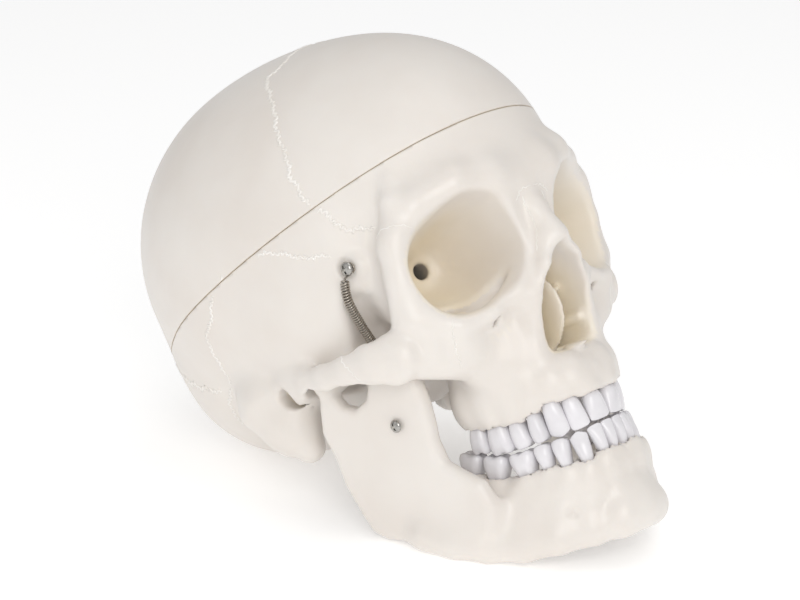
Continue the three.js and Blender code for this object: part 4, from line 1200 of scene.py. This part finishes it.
temple_screw = screw_shape(TEMPLE_LENGTH, TEMPLE_HEAD)
jaw_screw = screw_shape(JAW_LENGTH, JAW_HEAD)
nut = nut_shape()
wire = tube(spring_wire(), WIRE, WIRE_SIDES)
for side, name in SIDES:
    points, faces = mirrored(*wire, side)
    spring = new_piece(f"spring_wire_{name}", to_row(points), faces, [SPRING_STEEL])
    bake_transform(spring)
    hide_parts(f"spring_{name}")
    nickel_piece(f"screw_temple_{name}", temple_screw[0] + TEMPLE_SCREW, temple_screw[1], side, "cranium",
                 f"temple_screw_{name}")
    nickel_piece(f"screw_jaw_{name}", jaw_screw[0] + JAW_SCREW, jaw_screw[1], side, "jaw",
                 f"jaw_screw_{name}")
    nickel_piece(f"nut_jaw_{name}", nut[0] + (NUT_X, *JAW_SCREW[1:]), nut[1], side, "jaw",
                 f"jaw_nut_{name}")


# ---- Locating pins ----
PIN_RADIUS = 1.1
PIN_LENGTH = 9.0
# Place along the pin and radius, as shares of its length and radius.
PIN_PROFILE = [(-0.5, 0.5), (-0.47, 0.85), (-0.42, 1.0), (0.42, 1.0), (0.47, 0.85), (0.5, 0.5)]
PINS = [("front", 0, 90), ("rear_right", 42.8, -64), ("rear_left", -42.8, -64)]
upright = np.array([CUT_NORMAL, (1, 0, 0), np.cross(CUT_NORMAL, (1, 0, 0))])
points, faces = lathe([(a * PIN_LENGTH, r * PIN_RADIUS) for a, r in PIN_PROFILE], 32)
for name, x, y in PINS:
    place = (x, y, CUT_HEIGHT + CUT_RISE * y)
    nickel_piece(f"pin_{name}", points @ upright + place, faces, 1, "cranium", f"locating_pin_{name}")


# ---- Floor, light and camera ----
TARGET = Vector(to_row([(0, 10, 20)])[0])
VIEW_AZIMUTH, VIEW_ELEVATION, VIEW_ROLL = -46.28, 18.74, -0.41
VIEW_DISTANCE = 1.0
LENS = 120.3
SHIFT_X, SHIFT_Y = 0.0075, -0.01625
FLOOR_HALF = 4
FLOOR_GLOW = 0.3
SKY_GLOW = 0.55


def area_light(name, place, size, power, colour=(1, 1, 1)):
    """Square light turned to the skull, in m and W."""
    data = bpy.data.lights.new(name, "AREA")
    data.size = size
    data.energy = power
    data.color = colour
    obj = bpy.data.objects.new(name, data)
    obj.location = place
    obj.rotation_euler = (TARGET - obj.location).to_track_quat("-Z", "Y").to_euler()
    bpy.context.scene.collection.objects.link(obj)


def studio():
    """Pale floor, even light from all round and three area lights."""
    corners = [(x * FLOOR_HALF, y * FLOOR_HALF, 0) for x, y in ((-1, -1), (1, -1), (1, 1), (-1, 1))]
    floor = mesh_object("floor", corners, [(0, 1, 2, 3)])
    look = Look("floor_pale", (0.93, 0.93, 0.93), 0.8)
    look.fill(look.shader, {"Emission Color": (1, 1, 1, 1), "Emission Strength": FLOOR_GLOW})
    floor.data.materials.append(look.material)
    world = bpy.data.worlds.new("studio")
    world.use_nodes = True
    sky = world.node_tree.nodes["Background"]
    sky.inputs["Color"].default_value = (1, 1, 1, 1)
    sky.inputs["Strength"].default_value = SKY_GLOW
    bpy.context.scene.world = world
    bpy.context.scene.view_settings.view_transform = "Standard"
    area_light("key", (-0.93, -1.06, 0.82), 0.8, 8.0, (1, 0.985, 0.965))
    area_light("fill", (-1.4, 0.4, 0.9), 1.2, 1.5)
    area_light("top", (0.1, -0.3, 1.7), 1.2, 4.5)


def camera():
    """Long lens from the skull's front right, a little above it."""
    data = bpy.data.cameras.new("camera")
    data.sensor_width = 36
    data.lens = LENS
    data.shift_x = SHIFT_X
    data.shift_y = SHIFT_Y
    obj = bpy.data.objects.new("camera", data)
    az, el = math.radians(VIEW_AZIMUTH), math.radians(VIEW_ELEVATION)
    away = Vector((math.sin(az) * math.cos(el), -math.cos(az) * math.cos(el), math.sin(el)))
    obj.location = TARGET + away * VIEW_DISTANCE
    look = (-away).to_track_quat("-Z", "Y")
    obj.rotation_euler = (look @ Quaternion((0, 0, 1), math.radians(VIEW_ROLL))).to_euler()
    bpy.context.scene.collection.objects.link(obj)
    bpy.context.scene.camera = obj


studio()
camera()
